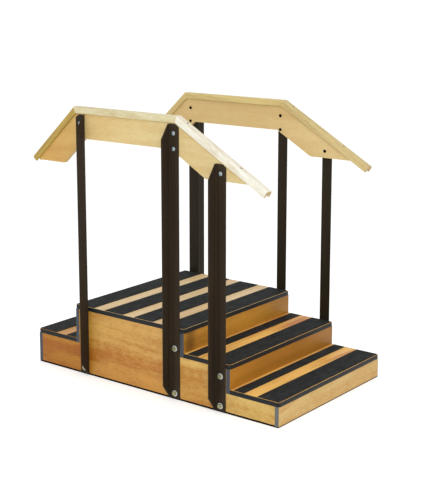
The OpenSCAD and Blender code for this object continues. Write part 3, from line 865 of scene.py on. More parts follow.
def finishes(context):
    """The finishes, made once and then shared."""
    if FINISHES:
        return FINISHES
    c = context.scene.stair_colours
    # risers darker towards their far end: partly painted shade, partly the veneer's own colour
    far_end = ((0, 0.0, 0.75, [(0.0, WHITE), (0.55, WHITE), (1.0, (0.76, 0.74, 0.58, 1.0))]),)
    made = {
        # side panels: darker and more orange at the left end and towards the foot, paler and bluer at the
        # right end; partly painted light and shade, partly the veneer's own colour
        "side": wood("side_veneer_maple", c.side, c.side_dark, figure=0.8, streak=0.55, patch=0.9,
                     lines=9.0, mottle=1.0, curl=0.6, heart=(0.117, 0.048, 0.036, 0.42),
                     shades=((0, -0.66, 0.66, [(0.0, (0.8, 0.68, 0.22, 1.0)), (0.225, (0.82, 0.7, 0.26, 1.0)),
                                               (0.26, (0.94, 0.92, 0.8, 1.0)), (0.56, WHITE),
                                               (0.62, (1.04, 1.13, 1.2, 1.0)), (0.76, (1.04, 1.13, 1.2, 1.0)),
                                               (0.82, (1.12, 1.5, 2.2, 1.0)), (1.0, (1.14, 1.56, 2.4, 1.0))]),
                             (1, 0.0, 0.3, [(0.0, (0.84, 0.69, 0.44, 1.0)), (0.3, (0.88, 0.78, 0.56, 1.0)),
                                            (0.55, (0.98, 0.98, 0.9, 1.0)), (1.0, (0.93, 0.93, 0.9, 1.0))]))),
        "riser": wood("riser_veneer_amber", c.riser, c.riser_dark, figure=0.5, streak=0.4, patch=0.7,
                      mottle=0.5, shades=far_end),
        # the platform's right riser: darker over its first tenth of a metre, a painted shadow of the near
        # middle post
        "riser_post_shadow": wood("riser_veneer_shaded", c.riser, c.riser_dark, figure=0.5, streak=0.4,
                             patch=0.7, shades=far_end + ((0, 0.0, 0.1, [
                                 (0.0, (0.8, 0.78, 0.74, 1.0)), (0.3, (0.5, 0.47, 0.42, 1.0)),
                                 (0.5, (0.5, 0.47, 0.42, 1.0)), (0.9, WHITE)]),)),
        # a darker copy for the low middle riser: partly painted shade, partly its own colour
        "riser_deep": wood("riser_veneer_deep", tinted(c.riser, 0.79, 0.71, 0.59)[:3], c.riser_dark,
                           figure=0.5, streak=0.4, patch=0.8, shades=far_end),
        "riser_pale": wood("riser_veneer_pale", tinted(c.side, 1.02, 1.22, 1.58)[:3],
                           tinted(c.side_dark, 1.1, 1.2, 1.3)[:3], figure=0.7, streak=0.5, patch=0.5,
                           lines=3.0, mottle=0.7, curl=0.4, heart=(0.055, 0.2, 0.016, 0.45)),
        "deck": wood("deck_veneer_pale", c.deck, c.deck_dark, figure=0.4, streak=0.6, patch=0.3, mottle=0.5),
        "tread": wood("tread_veneer_warm", c.tread, c.tread_dark, figure=0.6, streak=0.7, patch=1.2),
        "tread_brown": wood("tread_veneer_brown", tinted(c.tread, 0.66, 0.58, 0.62)[:3], c.tread_dark,
                            figure=0.6, streak=0.7, patch=1.0),
        # rail plates: more amber towards the left slope and paler at the right end; partly painted light and
        # shade, partly the veneer's own colour
        "plate": wood("rail_plate_birch", c.plate, c.plate_dark, figure=0.3, streak=0.3, patch=0.5, curl=0.2,
                      shades=((0, -0.66, 0.6, [(0.0, (0.86, 0.64, 0.34, 1.0)), (0.19, (0.88, 0.7, 0.42, 1.0)),
                                               (0.24, (0.98, 0.9, 0.76, 1.0)), (0.5, (0.97, 0.96, 0.9, 1.0)),
                                               (1.0, (0.94, 0.97, 0.98, 1.0))]),)),
        "far_plate": wood("rail_plate_birch_far", tinted(c.plate, 0.93, 0.86, 0.76)[:3], c.plate_dark,
                          figure=0.3, streak=0.3, patch=0.5, curl=0.2,
                          shades=((0, 0.1, 0.6, [(0.0, WHITE), (1.0, (1.1, 1.15, 1.24, 1.0))]),)),
        "frame": wood("framing_softwood", c.frame_wood, c.frame_dark, figure=1.0, streak=0.6, patch=0.4,
                      gloss=(0.55, 0.7), coat=0.0),
        "ply": ply_edge("plywood_edge", c.ply, c.ply_dark, 9),
        "ply_fine": ply_edge("plywood_edge_fine", c.ply, c.ply_dark, 13),
        "banding": banding("riser_banding_grey", c.banding),
        # a paler copy of the same banding for the last riser's ends: a painted highlight
        "corner": banding("riser_banding_corner", tinted(c.banding, 2.6, 2.2, 1.6)[:3]),
        "edging": banding("tread_edging_dark", c.edging, 0.2),
        "rubber": grip_rubber("anti_slip_grit", c.rubber),
        "runner": runner_plastic("runner_black", c.runner),
        "near_post": powder_coat("post_powder_coat", c.post),
        # the far posts: a darker copy of the same powder coat, painted shade
        "far_post": powder_coat("post_powder_coat_far", tinted(c.post, 0.7, 0.74, 0.68)[:3]),
        "zinc": metal("bolt_zinc_plate", tinted(c.zinc, 0.62, 0.7, 0.74)[:3], (0.4, 0.55),
                      tinted(c.zinc, 0.5, 0.56, 0.6), metallic=0.6),
        "washer": metal("washer_bright", tinted(c.zinc, 1.3, 1.3, 1.3)[:3], (0.35, 0.5),
                        tinted(c.zinc, 1.0, 1.0, 1.0), metallic=0.5),
        "hexagon": metal("bolt_yellow_zinc", tinted(c.zinc, 0.62, 0.57, 0.28)[:3], (0.4, 0.55),
                         tinted(c.zinc, 0.34, 0.32, 0.16), metallic=0.6),
        "brass": metal("screw_dull_brass", c.brass, (0.4, 0.6), tinted(c.brass, 0.5, 0.45, 0.4)),
        "nut": metal("nut_blackened", c.nut, (0.4, 0.6), tinted(c.nut, 2.0, 2.0, 2.0)),
    }
    # each cap segment has its own tint: partly the wood's own colour, partly painted light and shade
    caps = {"near_left": (0.62, 0.52, 0.21), "near_level": (0.9, 0.98, 1.28),
            "near_right": (1.08, 1.27, 2.33), "far_left": (0.77, 0.7, 0.58),
            "far_level": (0.8, 0.75, 0.62), "far_right": (0.77, 0.72, 0.66)}
    brown_edge = ((1, -CAP_HALF_WIDTH, CAP_HALF_WIDTH, [
        (0.0, WHITE), (0.55, WHITE), (0.8, (0.86, 0.76, 0.62, 1.0)), (1.0, (0.9, 0.82, 0.7, 1.0))]),)
    for place, tint in caps.items():
        made["cap_" + place] = wood("cap_birch_" + place, tinted(c.cap, *tint)[:3],
                                    tinted(c.cap_dark, *tint)[:3], figure=0.5, streak=0.7, patch=0.3,
                                    lines=14.0, wander=0.01, mottle=0.45, coat=0.25,
                                    shades=brown_edge if place == "near_right" else ())
    made["cap_end"] = wood("cap_end_grain", tinted(c.cap, 0.66, 0.56, 0.5)[:3],
                           tinted(c.cap_dark, 0.55, 0.45, 0.4)[:3], figure=1.4, streak=0.3, lines=60.0,
                           coat=0.0)
    FINISHES.update(made)
    return FINISHES


class STAIRS_OT_carcass(bpy.types.Operator):
    """Build the two side panels and the five risers"""

    bl_idname = "stairs.carcass"
    bl_label = "Side panels and risers"

    def execute(self, context):
        sizes = context.scene.stair_sizes
        looks = finishes(context)
        foot = high("near_floor_runner").z
        heads = [low(tread[0]).z for tread in TREADS]
        steps = [high(RISERS[0]).x, high(RISERS[1]).x, low(RISERS[2]).x, low(RISERS[3]).x, low(RISERS[4]).x]
        outline = [(steps[0], foot), (steps[4], foot), (steps[4], heads[3]), (steps[3], heads[3]),
                   (steps[3], heads[2]), (steps[2], heads[2]), (steps[2], heads[1]), (steps[1], heads[1]),
                   (steps[1], heads[0]), (steps[0], heads[0])]
        holes = centres("base_bolts")
        for number, side in enumerate(SIDES):
            node = side + "_side_panel"
            board = ease(prism(outline, low(node).y, high(node).y, along_y), sizes.board_ease)
            panel = link(node + "_board", board)
            drill(panel, holes, side, sizes)
            mark_grain(panel, ALONG_X, (0, low(node).y, 0), (0, 0, number * PATTERN_STEP))
            finish_piece(panel, (looks["side"], looks["ply"]), [node], second=edges_of(1))
        # the platform's right riser takes the copy with the painted post shadow at its near end
        kinds = ("riser", "riser", "riser_post_shadow", "riser_deep", "riser_pale")
        for number, (node, kind) in enumerate(zip(RISERS, kinds)):
            riser = link(node + "_board", ease(plank(*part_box(node)), sizes.board_ease))
            mark_grain(riser, ALONG_Y_UPRIGHT, low(node), (0, 0, number * PATTERN_STEP))
            finish_piece(riser, (looks[kind], looks["ply"]), [node], second=edges_of(0))
        return {"FINISHED"}


class STAIRS_OT_framing(bpy.types.Operator):
    """Build the ribs, bearers and blocks inside the carcass"""

    bl_idname = "stairs.framing"
    bl_label = "Framing"

    def execute(self, context):
        sizes = context.scene.stair_sizes
        looks = finishes(context)
        holes = centres("base_bolts")
        framing = (("platform_ribs", ALONG_Y_UPRIGHT), ("tread_bearers", ALONG_Y_UPRIGHT),
                   ("corner_blocks", ALONG_Z), ("near_post_blocks", ALONG_Z), ("far_post_blocks", ALONG_Z))
        for number, (node, turn) in enumerate(framing):
            parts = [ease(plank(*box), sizes.board_ease * 2) for box in boxes(node)]
            block = link(node + "_wood", joined(parts))
            if node.endswith("post_blocks"):
                drill(block, holes, node.split("_")[0], sizes)
            mark_grain(block, turn, low(node), (number * 1.7, number * 0.9, 0))
            finish_piece(block, (looks["frame"],), [node])
        return {"FINISHED"}


def tread_outline(lowest, highest, round_left, round_right, radius):
    """Plan of a tread, with round corners at its free ends."""
    left = radius if round_left else 0.0
    right = radius if round_right else 0.0
    return rounded([(Vector((lowest.x, lowest.y)), left), (Vector((highest.x, lowest.y)), right),
                    (Vector((highest.x, highest.y)), right), (Vector((lowest.x, highest.y)), left)])


class STAIRS_OT_treads(bpy.types.Operator):
    """Build the tread boards and the platform deck"""

    bl_idname = "stairs.treads"
    bl_label = "Treads and deck"

    def execute(self, context):
        sizes = context.scene.stair_sizes
        looks = finishes(context)
        for number, (node, edging, _grips, free_left, free_right) in enumerate(TREADS):
            lowest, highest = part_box(node)
            band = lowest.y - low(edging).y
            outline = tread_outline(lowest, highest, free_left, free_right, sizes.tread_corner - band)
            board = ease(prism(outline, lowest.z, highest.z, along_z), sizes.board_ease * 0.6)
            tread = link(node + "_board", board)
            mark_grain(tread, ALONG_Y_FLAT, lowest, (number * 2.1, number * 1.3, 0))
            look = {"platform_deck": "deck", "high_tread": "tread_brown"}.get(node, "tread")
            finish_piece(tread, (looks[look], looks["ply"]),
                         [node], second=edges_of(2))
        return {"FINISHED"}


class STAIRS_OT_banding(bpy.types.Operator):
    """Build the dark banding round the treads and over the riser ends"""

    bl_idname = "stairs.banding"
    bl_label = "Edge banding"

    def execute(self, context):
        sizes = context.scene.stair_sizes
        looks = finishes(context)
        tree = banding_tree()
        for node, edging, _grips, free_left, free_right in TREADS:
            lowest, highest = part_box(edging)
            thickness = low(node).y - lowest.y
            half = Vector((thickness / 2, thickness / 2, 0))
            inner_low = lowest + half
            inner_high = highest - half
            if not free_left:
                inner_low.x = lowest.x
            if not free_right:
                inner_high.x = highest.x
            outline = tread_outline(inner_low, inner_high, free_left, free_right,
                                    sizes.tread_corner - thickness / 2)
            closed = free_left and free_right
            if not closed:
                # the open path starts and ends at the riser
                outline = self.opened(outline, inner_high.x if free_left else inner_low.x)
            bm = bmesh.new()
            verts = [bm.verts.new((x, y, (lowest.z + highest.z) / 2)) for x, y in outline]
            for a, b in zip(verts, verts[1:]):
                bm.edges.new((a, b))
            if closed:
                bm.edges.new((verts[-1], verts[0]))
            band = link(edging + "_band", bm)
            run_tree(band, tree, {"Thickness": thickness, "Height": highest.z - lowest.z,
                                  "Easing": sizes.band_ease, "Finish": looks["edging"]})
            self.outward(band)
            finish_piece(band, (looks["edging"],), [edging])
        parts = [ease(plank(*box), sizes.band_ease) for box in boxes("riser_end_bands")]
        ends = link("riser_end_bands_strip", joined(parts))
        # the bands over the last riser take the paler copy, a painted highlight
        lit_corner_start = low(RISERS[-1]).x - LIT_CORNER_MARGIN
        finish_piece(ends, (looks["banding"], looks["corner"]), ["riser_end_bands"],
                     lambda face: face.center.x > lit_corner_start)
        return {"FINISHED"}

    @staticmethod
    def opened(outline, stop_x):
        """The outline without its edge at stop_x, in order from one end to the other."""
        at_stop = [i for i, (x, _y) in enumerate(outline) if abs(x - stop_x) < 1e-6]
        first, last = at_stop[0], at_stop[-1]
        if last - first == 1:
            return outline[last:] + outline[:last]
        return outline

    @staticmethod
    def outward(thing):
        bm = bmesh.new()
        bm.from_mesh(thing.data)
        recalculated(bm)
        bm.to_mesh(thing.data)
        bm.free()


class STAIRS_OT_grips(bpy.types.Operator):
    """Build the anti-slip strips on the treads and the platform"""

    bl_idname = "stairs.grips"
    bl_label = "Anti-slip strips"

    def execute(self, context):
        sizes = context.scene.stair_sizes
        looks = finishes(context)
        for node, edging, grips, free_left, free_right in TREADS:
            tread_low, tread_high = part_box(node)
            parts = []
            for lowest, highest in boxes(grips):
                at_left = free_left and lowest.x - tread_low.x < END_MARGIN
                at_right = free_right and tread_high.x - highest.x < END_MARGIN
                radius = sizes.tread_corner - (lowest.y - low(edging).y)
                outline = tread_outline(lowest, highest, at_left, at_right, radius)
                strip = prism(outline, lowest.z, highest.z, along_z)
                top = highest.z
                parts.append(ease(strip, sizes.strip_ease, 2,
                                  lambda e: min(v.co.z for v in e.verts) > top - 1e-5))
            strips = link(grips + "_strips", joined(parts))
            finish_piece(strips, (looks["rubber"],), [grips])
        return {"FINISHED"}


class STAIRS_OT_runners(bpy.types.Operator):
    """Build the runners and strips that stand on the floor"""

    bl_idname = "stairs.runners"
    bl_label = "Floor runners"

    def execute(self, context):
        looks = finishes(context)
        for node in ("near_floor_runner", "far_floor_runner", "end_floor_strips"):
            parts = [ease(plank(*box), RUNNER_EASE) for box in boxes(node)]
            runner = link(node + "_plastic", joined(parts))
            finish_piece(runner, (looks["runner"],), [node])
        return {"FINISHED"}


class STAIRS_OT_posts(bpy.types.Operator):
    """Build the six steel angle posts"""

    bl_idname = "stairs.posts"
    bl_label = "Posts"

    def execute(self, context):
        sizes = context.scene.stair_sizes
        looks = finishes(context)
        holes = centres("base_bolts") + centres("rail_bolts")
        for side in SIDES:
            for place, hand in (("left", -1), ("middle", 1), ("right", 1)):
                node = f"{side}_{place}_post"
                post = link(node + "_angle", self.angle(node, side, hand, sizes))
                own = [spot for spot in holes if low(node).x < spot.x < high(node).x]
                drill(post, own, side, sizes)
                # the far posts take the darker copy of the coat, painted shade
                finish_piece(post, (looks[side + "_post"],), [node])
        return {"FINISHED"}

    @staticmethod
    def angle(node, side, hand, sizes):
        """One post: a rounded L in plan, cut at its chamfers."""
        lowest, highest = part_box(node)
        outward = -1 if side == "near" else 1
        wall = lowest.y if side == "far" else highest.y
        tip = highest.y if side == "far" else lowest.y
        fold = lowest.x if hand > 0 else highest.x
        toe = highest.x if hand > 0 else lowest.x
        inner_wall = wall + outward * POST_THICKNESS
        inner_fold = fold + hand * POST_THICKNESS
        plan = rounded([
            (Vector((fold, wall)), sizes.fold_outer),
            (Vector((toe, wall)), 0),
            (Vector((toe, inner_wall)), sizes.toe_ease * 2),
            (Vector((inner_fold, inner_wall)), sizes.fold_inner),
            (Vector((inner_fold, tip)), sizes.toe_ease * 2),
            (Vector((fold, tip)), sizes.toe_ease * 2)])
        bm = prism(plan, lowest.z, highest.z, along_z)
        slope = Vector((0, outward * LEG_CHAMFER[1], LEG_CHAMFER[0]))
        toe_slope = Vector((hand * TOE_CHAMFER[1], 0, TOE_CHAMFER[0]))
        cuts = [
            (Vector((0, tip, highest.z - LEG_CHAMFER[1])), slope),
            (Vector((0, tip, lowest.z + LEG_CHAMFER[1])), Vector((slope.x, slope.y, -slope.z))),
            (Vector((toe, 0, highest.z - TOE_CHAMFER[1])), toe_slope)]
        for point, normal in cuts:
            geometry = bm.verts[:] + bm.edges[:] + bm.faces[:]
            done = bmesh.ops.bisect_plane(bm, geom=geometry, plane_co=point, plane_no=normal,
                                          clear_outer=True)
            rim = [e for e in done["geom_cut"] if isinstance(e, bmesh.types.BMEdge)]
            bmesh.ops.contextual_create(bm, geom=rim)
        recalculated(bm)
        return ease(bm, sizes.toe_ease, 2, lambda e: e.calc_face_angle(0.0) > math.radians(40))


class STAIRS_OT_rail_plates(bpy.types.Operator):
    """Build the two arched plywood plates of the handrails"""

    bl_idname = "stairs.rail_plates"
    bl_label = "Rail plates"

    def execute(self, context):
        sizes = context.scene.stair_sizes
        looks = finishes(context)
        rail = Rail(sizes)
        outline = self.outline(rail, sizes)
        holes = centres("rail_bolts")
        for number, side in enumerate(SIDES):
            node = side + "_rail_plate"
            board = ease(prism(outline, low(node).y, high(node).y, along_y), sizes.plate_ease)
            plate = link(node + "_ply", board)
            drill(plate, holes, side, sizes)
            mark_grain(plate, ALONG_X, (0, low(node).y, 0), (0, 0, number * PATTERN_STEP))
            look = looks["plate" if side == "near" else "far_plate"]
            finish_piece(plate, (look, looks["ply_fine"]), [node], second=edges_of(1))
        return {"FINISHED"}

    @staticmethod
    def outline(rail, sizes):
        """The plate in side view: an arch under the cap, on two level feet."""
        inside = sizes.cap_depth - sizes.groove
        toe_depth = sizes.cap_depth + TOE_DROP
        left_foot = low("near_rail_plate").z
        left_toe = rail.left_at(toe_depth, left_foot)
        right_toe = rail.right_at(toe_depth, RIGHT_FOOT)
        rise = toe_depth - inside
        up_left = Vector((-math.sin(rail.left_slope), math.cos(rail.left_slope))) * rise
        up_right = Vector((math.sin(rail.right_slope), math.cos(rail.right_slope))) * rise
        depth = sizes.rail_depth
        return rounded([
            (left_toe + up_left, 0), (rail.left_mitre(inside), 0), (rail.right_mitre(inside), 0),
            (right_toe + up_right, 0), (right_toe, TOE_RADIUS),
            (rail.right_at(depth, RIGHT_FOOT), HEEL_RADIUS), (rail.right_mitre(depth), HEEL_RADIUS),
            (rail.left_mitre(depth), HEEL_RADIUS), (rail.left_at(depth, left_foot), HEEL_RADIUS),
            (left_toe, TOE_RADIUS)])


class STAIRS_OT_cap_rails(bpy.types.Operator):
    """Build the six mitred cap rails"""

    bl_idname = "stairs.cap_rails"
    bl_label = "Cap rails"

    def execute(self, context):
        sizes = context.scene.stair_sizes
        looks = finishes(context)
        rail = Rail(sizes)
        screws = screw_heads(rail)
        section = self.section(sizes)
        for number, side in enumerate(SIDES):
            for place in ("left", "level", "right"):
                node = f"{side}_{place}_cap"
                middle = (low(node).y + high(node).y) / 2
                bar, turn, start = self.bar(node, place, section, rail, middle)
                cap = link(node + "_rail", bar)
                own = [s for s in screws if s[2] == place and (s[0].y < 0) == (side == "near")]
                cut(cap, joined([self.countersink(head, up, sizes) for head, up, _place in own]))
                fibres = turn.to_3x3().inverted()
                mark_grain(cap, fibres, start, (number * 2.3 + len(place), number * 0.7, 0))
                finish_piece(cap, (looks[f"cap_{side}_{place}"], looks["cap_end"]), [node],
                             self.free_end(place, turn))
        return {"FINISHED"}

    @staticmethod
    def free_end(place, turn):
        """Picks the faces of the cut end, where the handrail stops."""
        outward = turn.to_3x3() @ Vector(({"left": -1, "right": 1}.get(place, 0), 0, 0))
        return lambda face: face.normal.dot(outward) > END_FACING

    @staticmethod
    def section(sizes):
        """The cap's cross section: (across, depth below the top)."""
        half = (high("near_level_cap").y - low("near_level_cap").y) / 2
        deep = sizes.cap_depth
        slot = (high("near_rail_plate").y - low("near_rail_plate").y) / 2
        return rounded([
            (Vector((-half, 0)), sizes.cap_round), (Vector((half, 0)), sizes.cap_round),
            (Vector((half, deep)), sizes.cap_lower), (Vector((slot, deep)), GROOVE_EASE),
            (Vector((slot, deep - sizes.groove)), 0), (Vector((-slot, deep - sizes.groove)), 0),
            (Vector((-slot, deep)), GROOVE_EASE), (Vector((-half, deep)), sizes.cap_lower)])

    @staticmethod
    def bar(node, place, section, rail, middle):
        """One cap segment in its own frame, then laid on its slope."""
        slack_left = math.tan(rail.left_slope / 2)
        slack_right = math.tan(rail.right_slope / 2)
        if place == "left":
            run = (rail.left - low(node).x) / math.cos(rail.left_slope)
            start = Vector((rail.left, middle, rail.top))
            turn = Matrix.Rotation(-rail.left_slope, 4, "Y")
            ends = (lambda d: -run, lambda d: -d * slack_left)
        elif place == "right":
            run = (high(node).x - rail.right) / math.cos(rail.right_slope)
            start = Vector((rail.right, middle, rail.top))
            turn = Matrix.Rotation(rail.right_slope, 4, "Y")
            ends = (lambda d: d * slack_right, lambda d: run)
        else:
            start = Vector((rail.left, middle, rail.top))
            turn = Matrix.Identity(4)
            ends = (lambda d: d * slack_left, lambda d: rail.right - rail.left - d * slack_right)
        bm = prism(section, 0, 1, lambda u, v, w: (ends[round(w)](v), u, -v))
        free = {"left": 0, "right": 1, "level": None}[place]

        def is_end(edge, which):
            return all(abs(v.co.x - ends[which](-v.co.z)) < 1e-6 for v in edge.verts)

        for which in (0, 1):
            width = CUT_END_EASE if which == free else MITRE_EASE
            ease(bm, width, 3 if which == free else 1,
                 lambda e: is_end(e, which) and e.calc_face_angle(0.0) > math.radians(60))
        bmesh.ops.transform(bm, matrix=Matrix.Translation(start) @ turn, verts=bm.verts)
        return bm, turn, start

    @staticmethod
    def countersink(head, up, sizes):
        """The cone and the bore of one screw hole."""
        rim = sizes.screw / 2 + HEAD_CLEARANCE
        profile = [(0, BORE_FOOT), (BORE_RADIUS, BORE_FOOT), (BORE_RADIUS, CONE_FOOT),
                   (rim, CONE_LIP), (rim, CUTTER_TOP), (0, CUTTER_TOP)]
        hole = lathe(profile, 24)
        aim = up.to_track_quat("Z", "Y").to_matrix().to_4x4()
        bmesh.ops.transform(hole, matrix=Matrix.Translation(head) @ aim, verts=hole.verts)
        return hole


def screw_heads(rail):
    """Each cap screw's head centre, the direction it faces and its segment of the cap."""
    found = []
    for points in solids("cap_screws"):
        x = sum(p.x for p in points) / len(points)
        if x < rail.left:
            up, place = Vector((-math.sin(rail.left_slope), 0, math.cos(rail.left_slope))), "left"
        elif x > rail.right:
            up, place = Vector((math.sin(rail.right_slope), 0, math.cos(rail.right_slope))), "right"
        else:
            up, place = Vector((0, 0, 1)), "level"
        crest = max(p.dot(up) for p in points)
        rim = [p for p in points if p.dot(up) > crest - 1e-5]
        found.append((sum(rim, Vector()) / len(rim), up, place))
    return sorted(found, key=lambda s: tuple(round(c, 5) for c in s[0]))


def hexagon_outline(radius):
    """The six corners of a hexagon, at the given distance from the axis."""
    angles = [math.radians(60 * i) for i in range(6)]
    return [(radius * math.cos(angle), radius * math.sin(angle)) for angle in angles]


def unit_hexagon():
    """A hexagonal bar of unit width across its flats and unit height."""
    return prism(hexagon_outline(0.5 / math.cos(math.radians(30))), 0, 1, along_z)


def hexagon_head():
    """A hexagon of unit width and unit height with its corners chamfered."""
    head = link("hexagon_head", unit_hexagon())
    cone = [(0, -0.1), (0.7, -0.1), (0.7, 0.7), (0.47, 1.0), (0, 1.0)]
    return cut(head, lathe(cone, 48), "INTERSECT")


def dome_head():
    """A low mushroom of unit diameter and unit height."""
    profile = [(0, 0), (0.47, 0), (0.5, 0.1)]
    for i in range(1, 9):
        angle = math.radians(90 * i / 8)
        profile.append((0.5 * math.cos(angle), 0.1 + 0.9 * math.sin(angle)))
    profile[-1] = (0, 1.0)
    return link("dome_head", lathe(profile, 40))


def socket_nut():
    """A round nut of unit diameter and unit height with a hexagon socket."""
    profile = [(0, 0), (0.48, 0), (0.5, 0.15), (0.5, 0.6), (0.44, 0.9), (0.34, 1.0), (0, 1.0)]
    nut = link("socket_nut", lathe(profile, 36))
    return cut(nut, prism(hexagon_outline(0.2), 0.35, 1.5, along_z))


def washer_ring():
    """A flat washer of unit diameter and unit height with soft edges."""
    profile = [(0, 0), (0.47, 0), (0.5, 0.25), (0.5, 0.75), (0.47, 1.0), (0, 1.0)]
    ring = link("washer_ring", lathe(profile, 48))
    bore = [(0, -0.5), (0.212, -0.5), (0.212, 1.5), (0, 1.5)]
    return cut(ring, lathe(bore, 32))


def hexagon_nut():
    """A hexagon nut of unit width and unit height, chamfered on both faces and bored."""
    nut = link("hexagon_nut", unit_hexagon())
    barrel = [(0, 0), (0.48, 0), (0.7, 0.25), (0.7, 0.75), (0.48, 1.0), (0, 1.0)]
    cut(nut, lathe(barrel, 48), "INTERSECT")
    bore = [(0, -0.5), (0.297, -0.5), (0.297, 1.5), (0, 1.5)]
    return cut(nut, lathe(bore, 32))


def screw_head():
    """A countersunk head of unit diameter and unit height with a cross recess; its top is at zero."""
    profile = [(0, -1.0), (0.25, -1.0), (0.47, -0.12), (0.5, -0.05), (0.5, 0.0), (0.44, 0.0), (0, 0.0)]
    head = link("screw_head", lathe(profile, 32))
    cut(head, plank((-0.3, -0.06, -0.4), (0.3, 0.06, 0.5)))
    return cut(head, plank((-0.06, -0.3, -0.4), (0.06, 0.3, 0.5)))


class STAIRS_OT_fasteners(bpy.types.Operator):
    """Set the bolts, nuts, washers and screws"""

    bl_idname = "stairs.fasteners"
    bl_label = "Fasteners"

    def execute(self, context):
        sizes = context.scene.stair_sizes
        looks = finishes(context)
        tree = fastener_tree()
        plate = high("near_rail_plate").y
        outer = low("near_side_panel").y - POST_THICKNESS

        def both_sides(node, y, outward=True):
            """Points at the near plane y and its mirror, facing out of the stairs or into them."""
            spots = []
            for centre in centres(node):
                sign = 1 if centre.y < 0 else -1
                facing = Vector((0, -sign if outward else sign, 0))
                spots.append((Vector((centre.x, y * sign, centre.z)), facing))
            return spots

        washer_top = outer - sizes.washer_height
        inner = high("near_post_blocks").y
        stub = (sizes.screw_shank, sizes.round_nut_height / 3)
        none = (0.0, 0.0)
        rows = (
            ("rail_bolts", dome_head(), both_sides("rail_bolts", outer), (sizes.dome, sizes.dome_height),
             (sizes.bolt, plate - outer), 0.0, "zinc", "bolt_zinc"),
            ("rail_nuts", socket_nut(), both_sides("rail_nuts", plate, False),
             (sizes.round_nut, sizes.round_nut_height), stub, math.pi, "nut", "nut_black"),
            ("base_bolts", hexagon_head(), both_sides("base_bolts", washer_top),
             (sizes.hexagon, sizes.hexagon_height),
             (sizes.bolt, inner + sizes.base_nut_height - washer_top), math.pi, "hexagon", "bolt_zinc"),
            ("base_washers", washer_ring(), both_sides("base_washers", outer),
             (sizes.washer, sizes.washer_height), none, math.pi, "washer", "bolt_zinc"),
            ("base_nuts", hexagon_nut(), both_sides("base_nuts", inner, False),
             (sizes.base_nut, sizes.base_nut_height), none, math.pi, "zinc", "bolt_zinc"),
            ("cap_screws", screw_head(), [(head, up) for head, up, _place in screw_heads(Rail(sizes))],
             (sizes.screw, sizes.screw_height), (sizes.screw_shank, sizes.screw_length), math.pi,
             "brass", "screw_brass"))
        for number, (node, head, spots, size, shank, spread, look, slot) in enumerate(rows):
            bm = bmesh.new()
            for place, _facing in spots:
                bm.verts.new(place)
            row = link(node + "_row", bm)
            directions = row.data.attributes.new("facing", "FLOAT_VECTOR", "POINT")
            directions.data.foreach_set("vector", [c for _place, facing in spots for c in facing])
            run_tree(row, tree, {"Head": head, "Head diameter": size[0], "Head height": size[1],
                                 "Shank diameter": shank[0], "Shank length": shank[1],
                                 "Turn spread": spread, "Seed": sizes.seed + number, "Finish": looks[look]})
            finish_piece(row, (looks[look],), [node])
            discard(head)
        return {"FINISHED"}


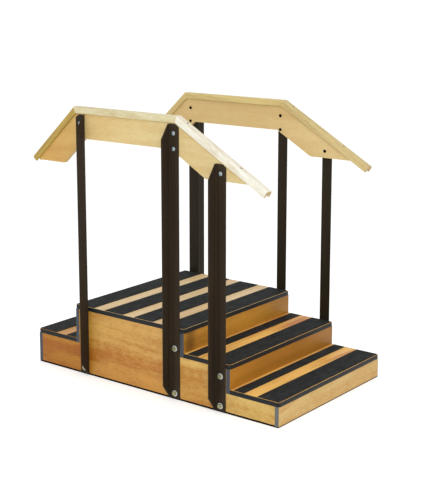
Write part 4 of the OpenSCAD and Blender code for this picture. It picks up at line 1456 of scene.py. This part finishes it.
class STAIRS_OT_stage(bpy.types.Operator):
    """Set the floor, the lights and the camera"""

    bl_idname = "stairs.stage"
    bl_label = "Stage"

    def execute(self, context):
        scene = context.scene
        stage = scene.stair_stage
        floor = link("studio_floor", plank((-FLOOR_REACH, -FLOOR_REACH, -FLOOR_THICKNESS),
                                           (FLOOR_REACH, FLOOR_REACH, 0.0)))
        floor.data.materials.append(floor_finish("studio_floor", stage.floor))
        world = bpy.data.worlds.new("studio_world")
        world.use_nodes = True
        nodes, links = world.node_tree.nodes, world.node_tree.links
        glow = nodes["Background"]
        glow.inputs["Color"].default_value = WHITE
        glow.inputs["Strength"].default_value = stage.world
        paper = nodes.new("ShaderNodeBackground")
        paper.inputs["Color"].default_value = WHITE
        seen = nodes.new("ShaderNodeLightPath")
        either = nodes.new("ShaderNodeMixShader")
        links.new(seen.outputs["Is Camera Ray"], either.inputs[0])
        links.new(glow.outputs[0], either.inputs[1])
        links.new(paper.outputs[0], either.inputs[2])
        links.new(either.outputs[0], nodes["World Output"].inputs["Surface"])
        scene.world = world
        aim = Vector(stage.aim)
        beside = self.direction(stage.azimuth, math.radians(KEY_ELEVATION))
        self.softbox("key_light", aim + beside * KEY_DISTANCE, aim, stage.key, KEY_SIZE)
        self.softbox("top_light", Vector((0.0, 0.0, TOP_HEIGHT)), Vector((0.0, 0.0, TOP_AIM)),
                     stage.top, TOP_SIZE)
        camera = bpy.data.cameras.new("camera")
        camera.lens = stage.lens
        camera.sensor_width = SENSOR_WIDTH
        camera.shift_y = stage.shift
        camera.dof.use_dof = False
        seat = bpy.data.objects.new("camera", camera)
        scene.collection.objects.link(seat)
        towards = self.direction(stage.azimuth, stage.elevation)
        seat.location = aim + towards * stage.distance
        seat.rotation_euler = (-towards).to_track_quat("-Z", "Y").to_euler()
        scene.camera = seat
        scene.view_settings.view_transform = "Standard"
        return {"FINISHED"}

    @staticmethod
    def direction(azimuth, elevation):
        """A unit vector towards a point, from the near side round to +X."""
        flat = math.cos(elevation)
        return Vector((math.sin(azimuth) * flat, -math.cos(azimuth) * flat, math.sin(elevation)))

    @staticmethod
    def softbox(name, place, aim, power, size):
        lamp = bpy.data.lights.new(name, "AREA")
        lamp.shape = "DISK"
        lamp.size = size
        lamp.energy = power
        thing = bpy.data.objects.new(name, lamp)
        bpy.context.scene.collection.objects.link(thing)
        thing.location = place
        thing.rotation_euler = (aim - place).to_track_quat("-Z", "Y").to_euler()


class STAIRS_PT_panel(bpy.types.Panel):
    """The sidebar's list of pieces"""

    bl_idname = "STAIRS_PT_panel"
    bl_label = "Training Stairs"
    bl_space_type = "VIEW_3D"
    bl_region_type = "UI"
    bl_category = "Stairs"

    def draw(self, context):
        for operator in OPERATORS:
            self.layout.operator(operator.bl_idname)
        for settings in ("stair_sizes", "stair_colours", "stair_stage"):
            group = getattr(context.scene, settings)
            column = self.layout.box().column()
            for name in group.__annotations__:
                column.prop(group, name)


OPERATORS = (STAIRS_OT_carcass, STAIRS_OT_framing, STAIRS_OT_treads, STAIRS_OT_banding, STAIRS_OT_grips,
             STAIRS_OT_runners, STAIRS_OT_posts, STAIRS_OT_rail_plates, STAIRS_OT_cap_rails,
             STAIRS_OT_fasteners, STAIRS_OT_stage)
GROUPS = (StairColours, StairSizes, StageSettings)


def register():
    for kind in GROUPS + OPERATORS + (STAIRS_PT_panel,):
        bpy.utils.register_class(kind)
    bpy.types.Scene.stair_colours = PointerProperty(type=StairColours)
    bpy.types.Scene.stair_sizes = PointerProperty(type=StairSizes)
    bpy.types.Scene.stair_stage = PointerProperty(type=StageSettings)


def unregister():
    del bpy.types.Scene.stair_stage
    del bpy.types.Scene.stair_sizes
    del bpy.types.Scene.stair_colours
    for kind in reversed(GROUPS + OPERATORS + (STAIRS_PT_panel,)):
        bpy.utils.unregister_class(kind)


def main():
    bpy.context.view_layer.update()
    register()
    for operator in OPERATORS:
        group, name = operator.bl_idname.split(".")
        getattr(getattr(bpy.ops, group), name)()


if __name__ == "__main__":
    main()
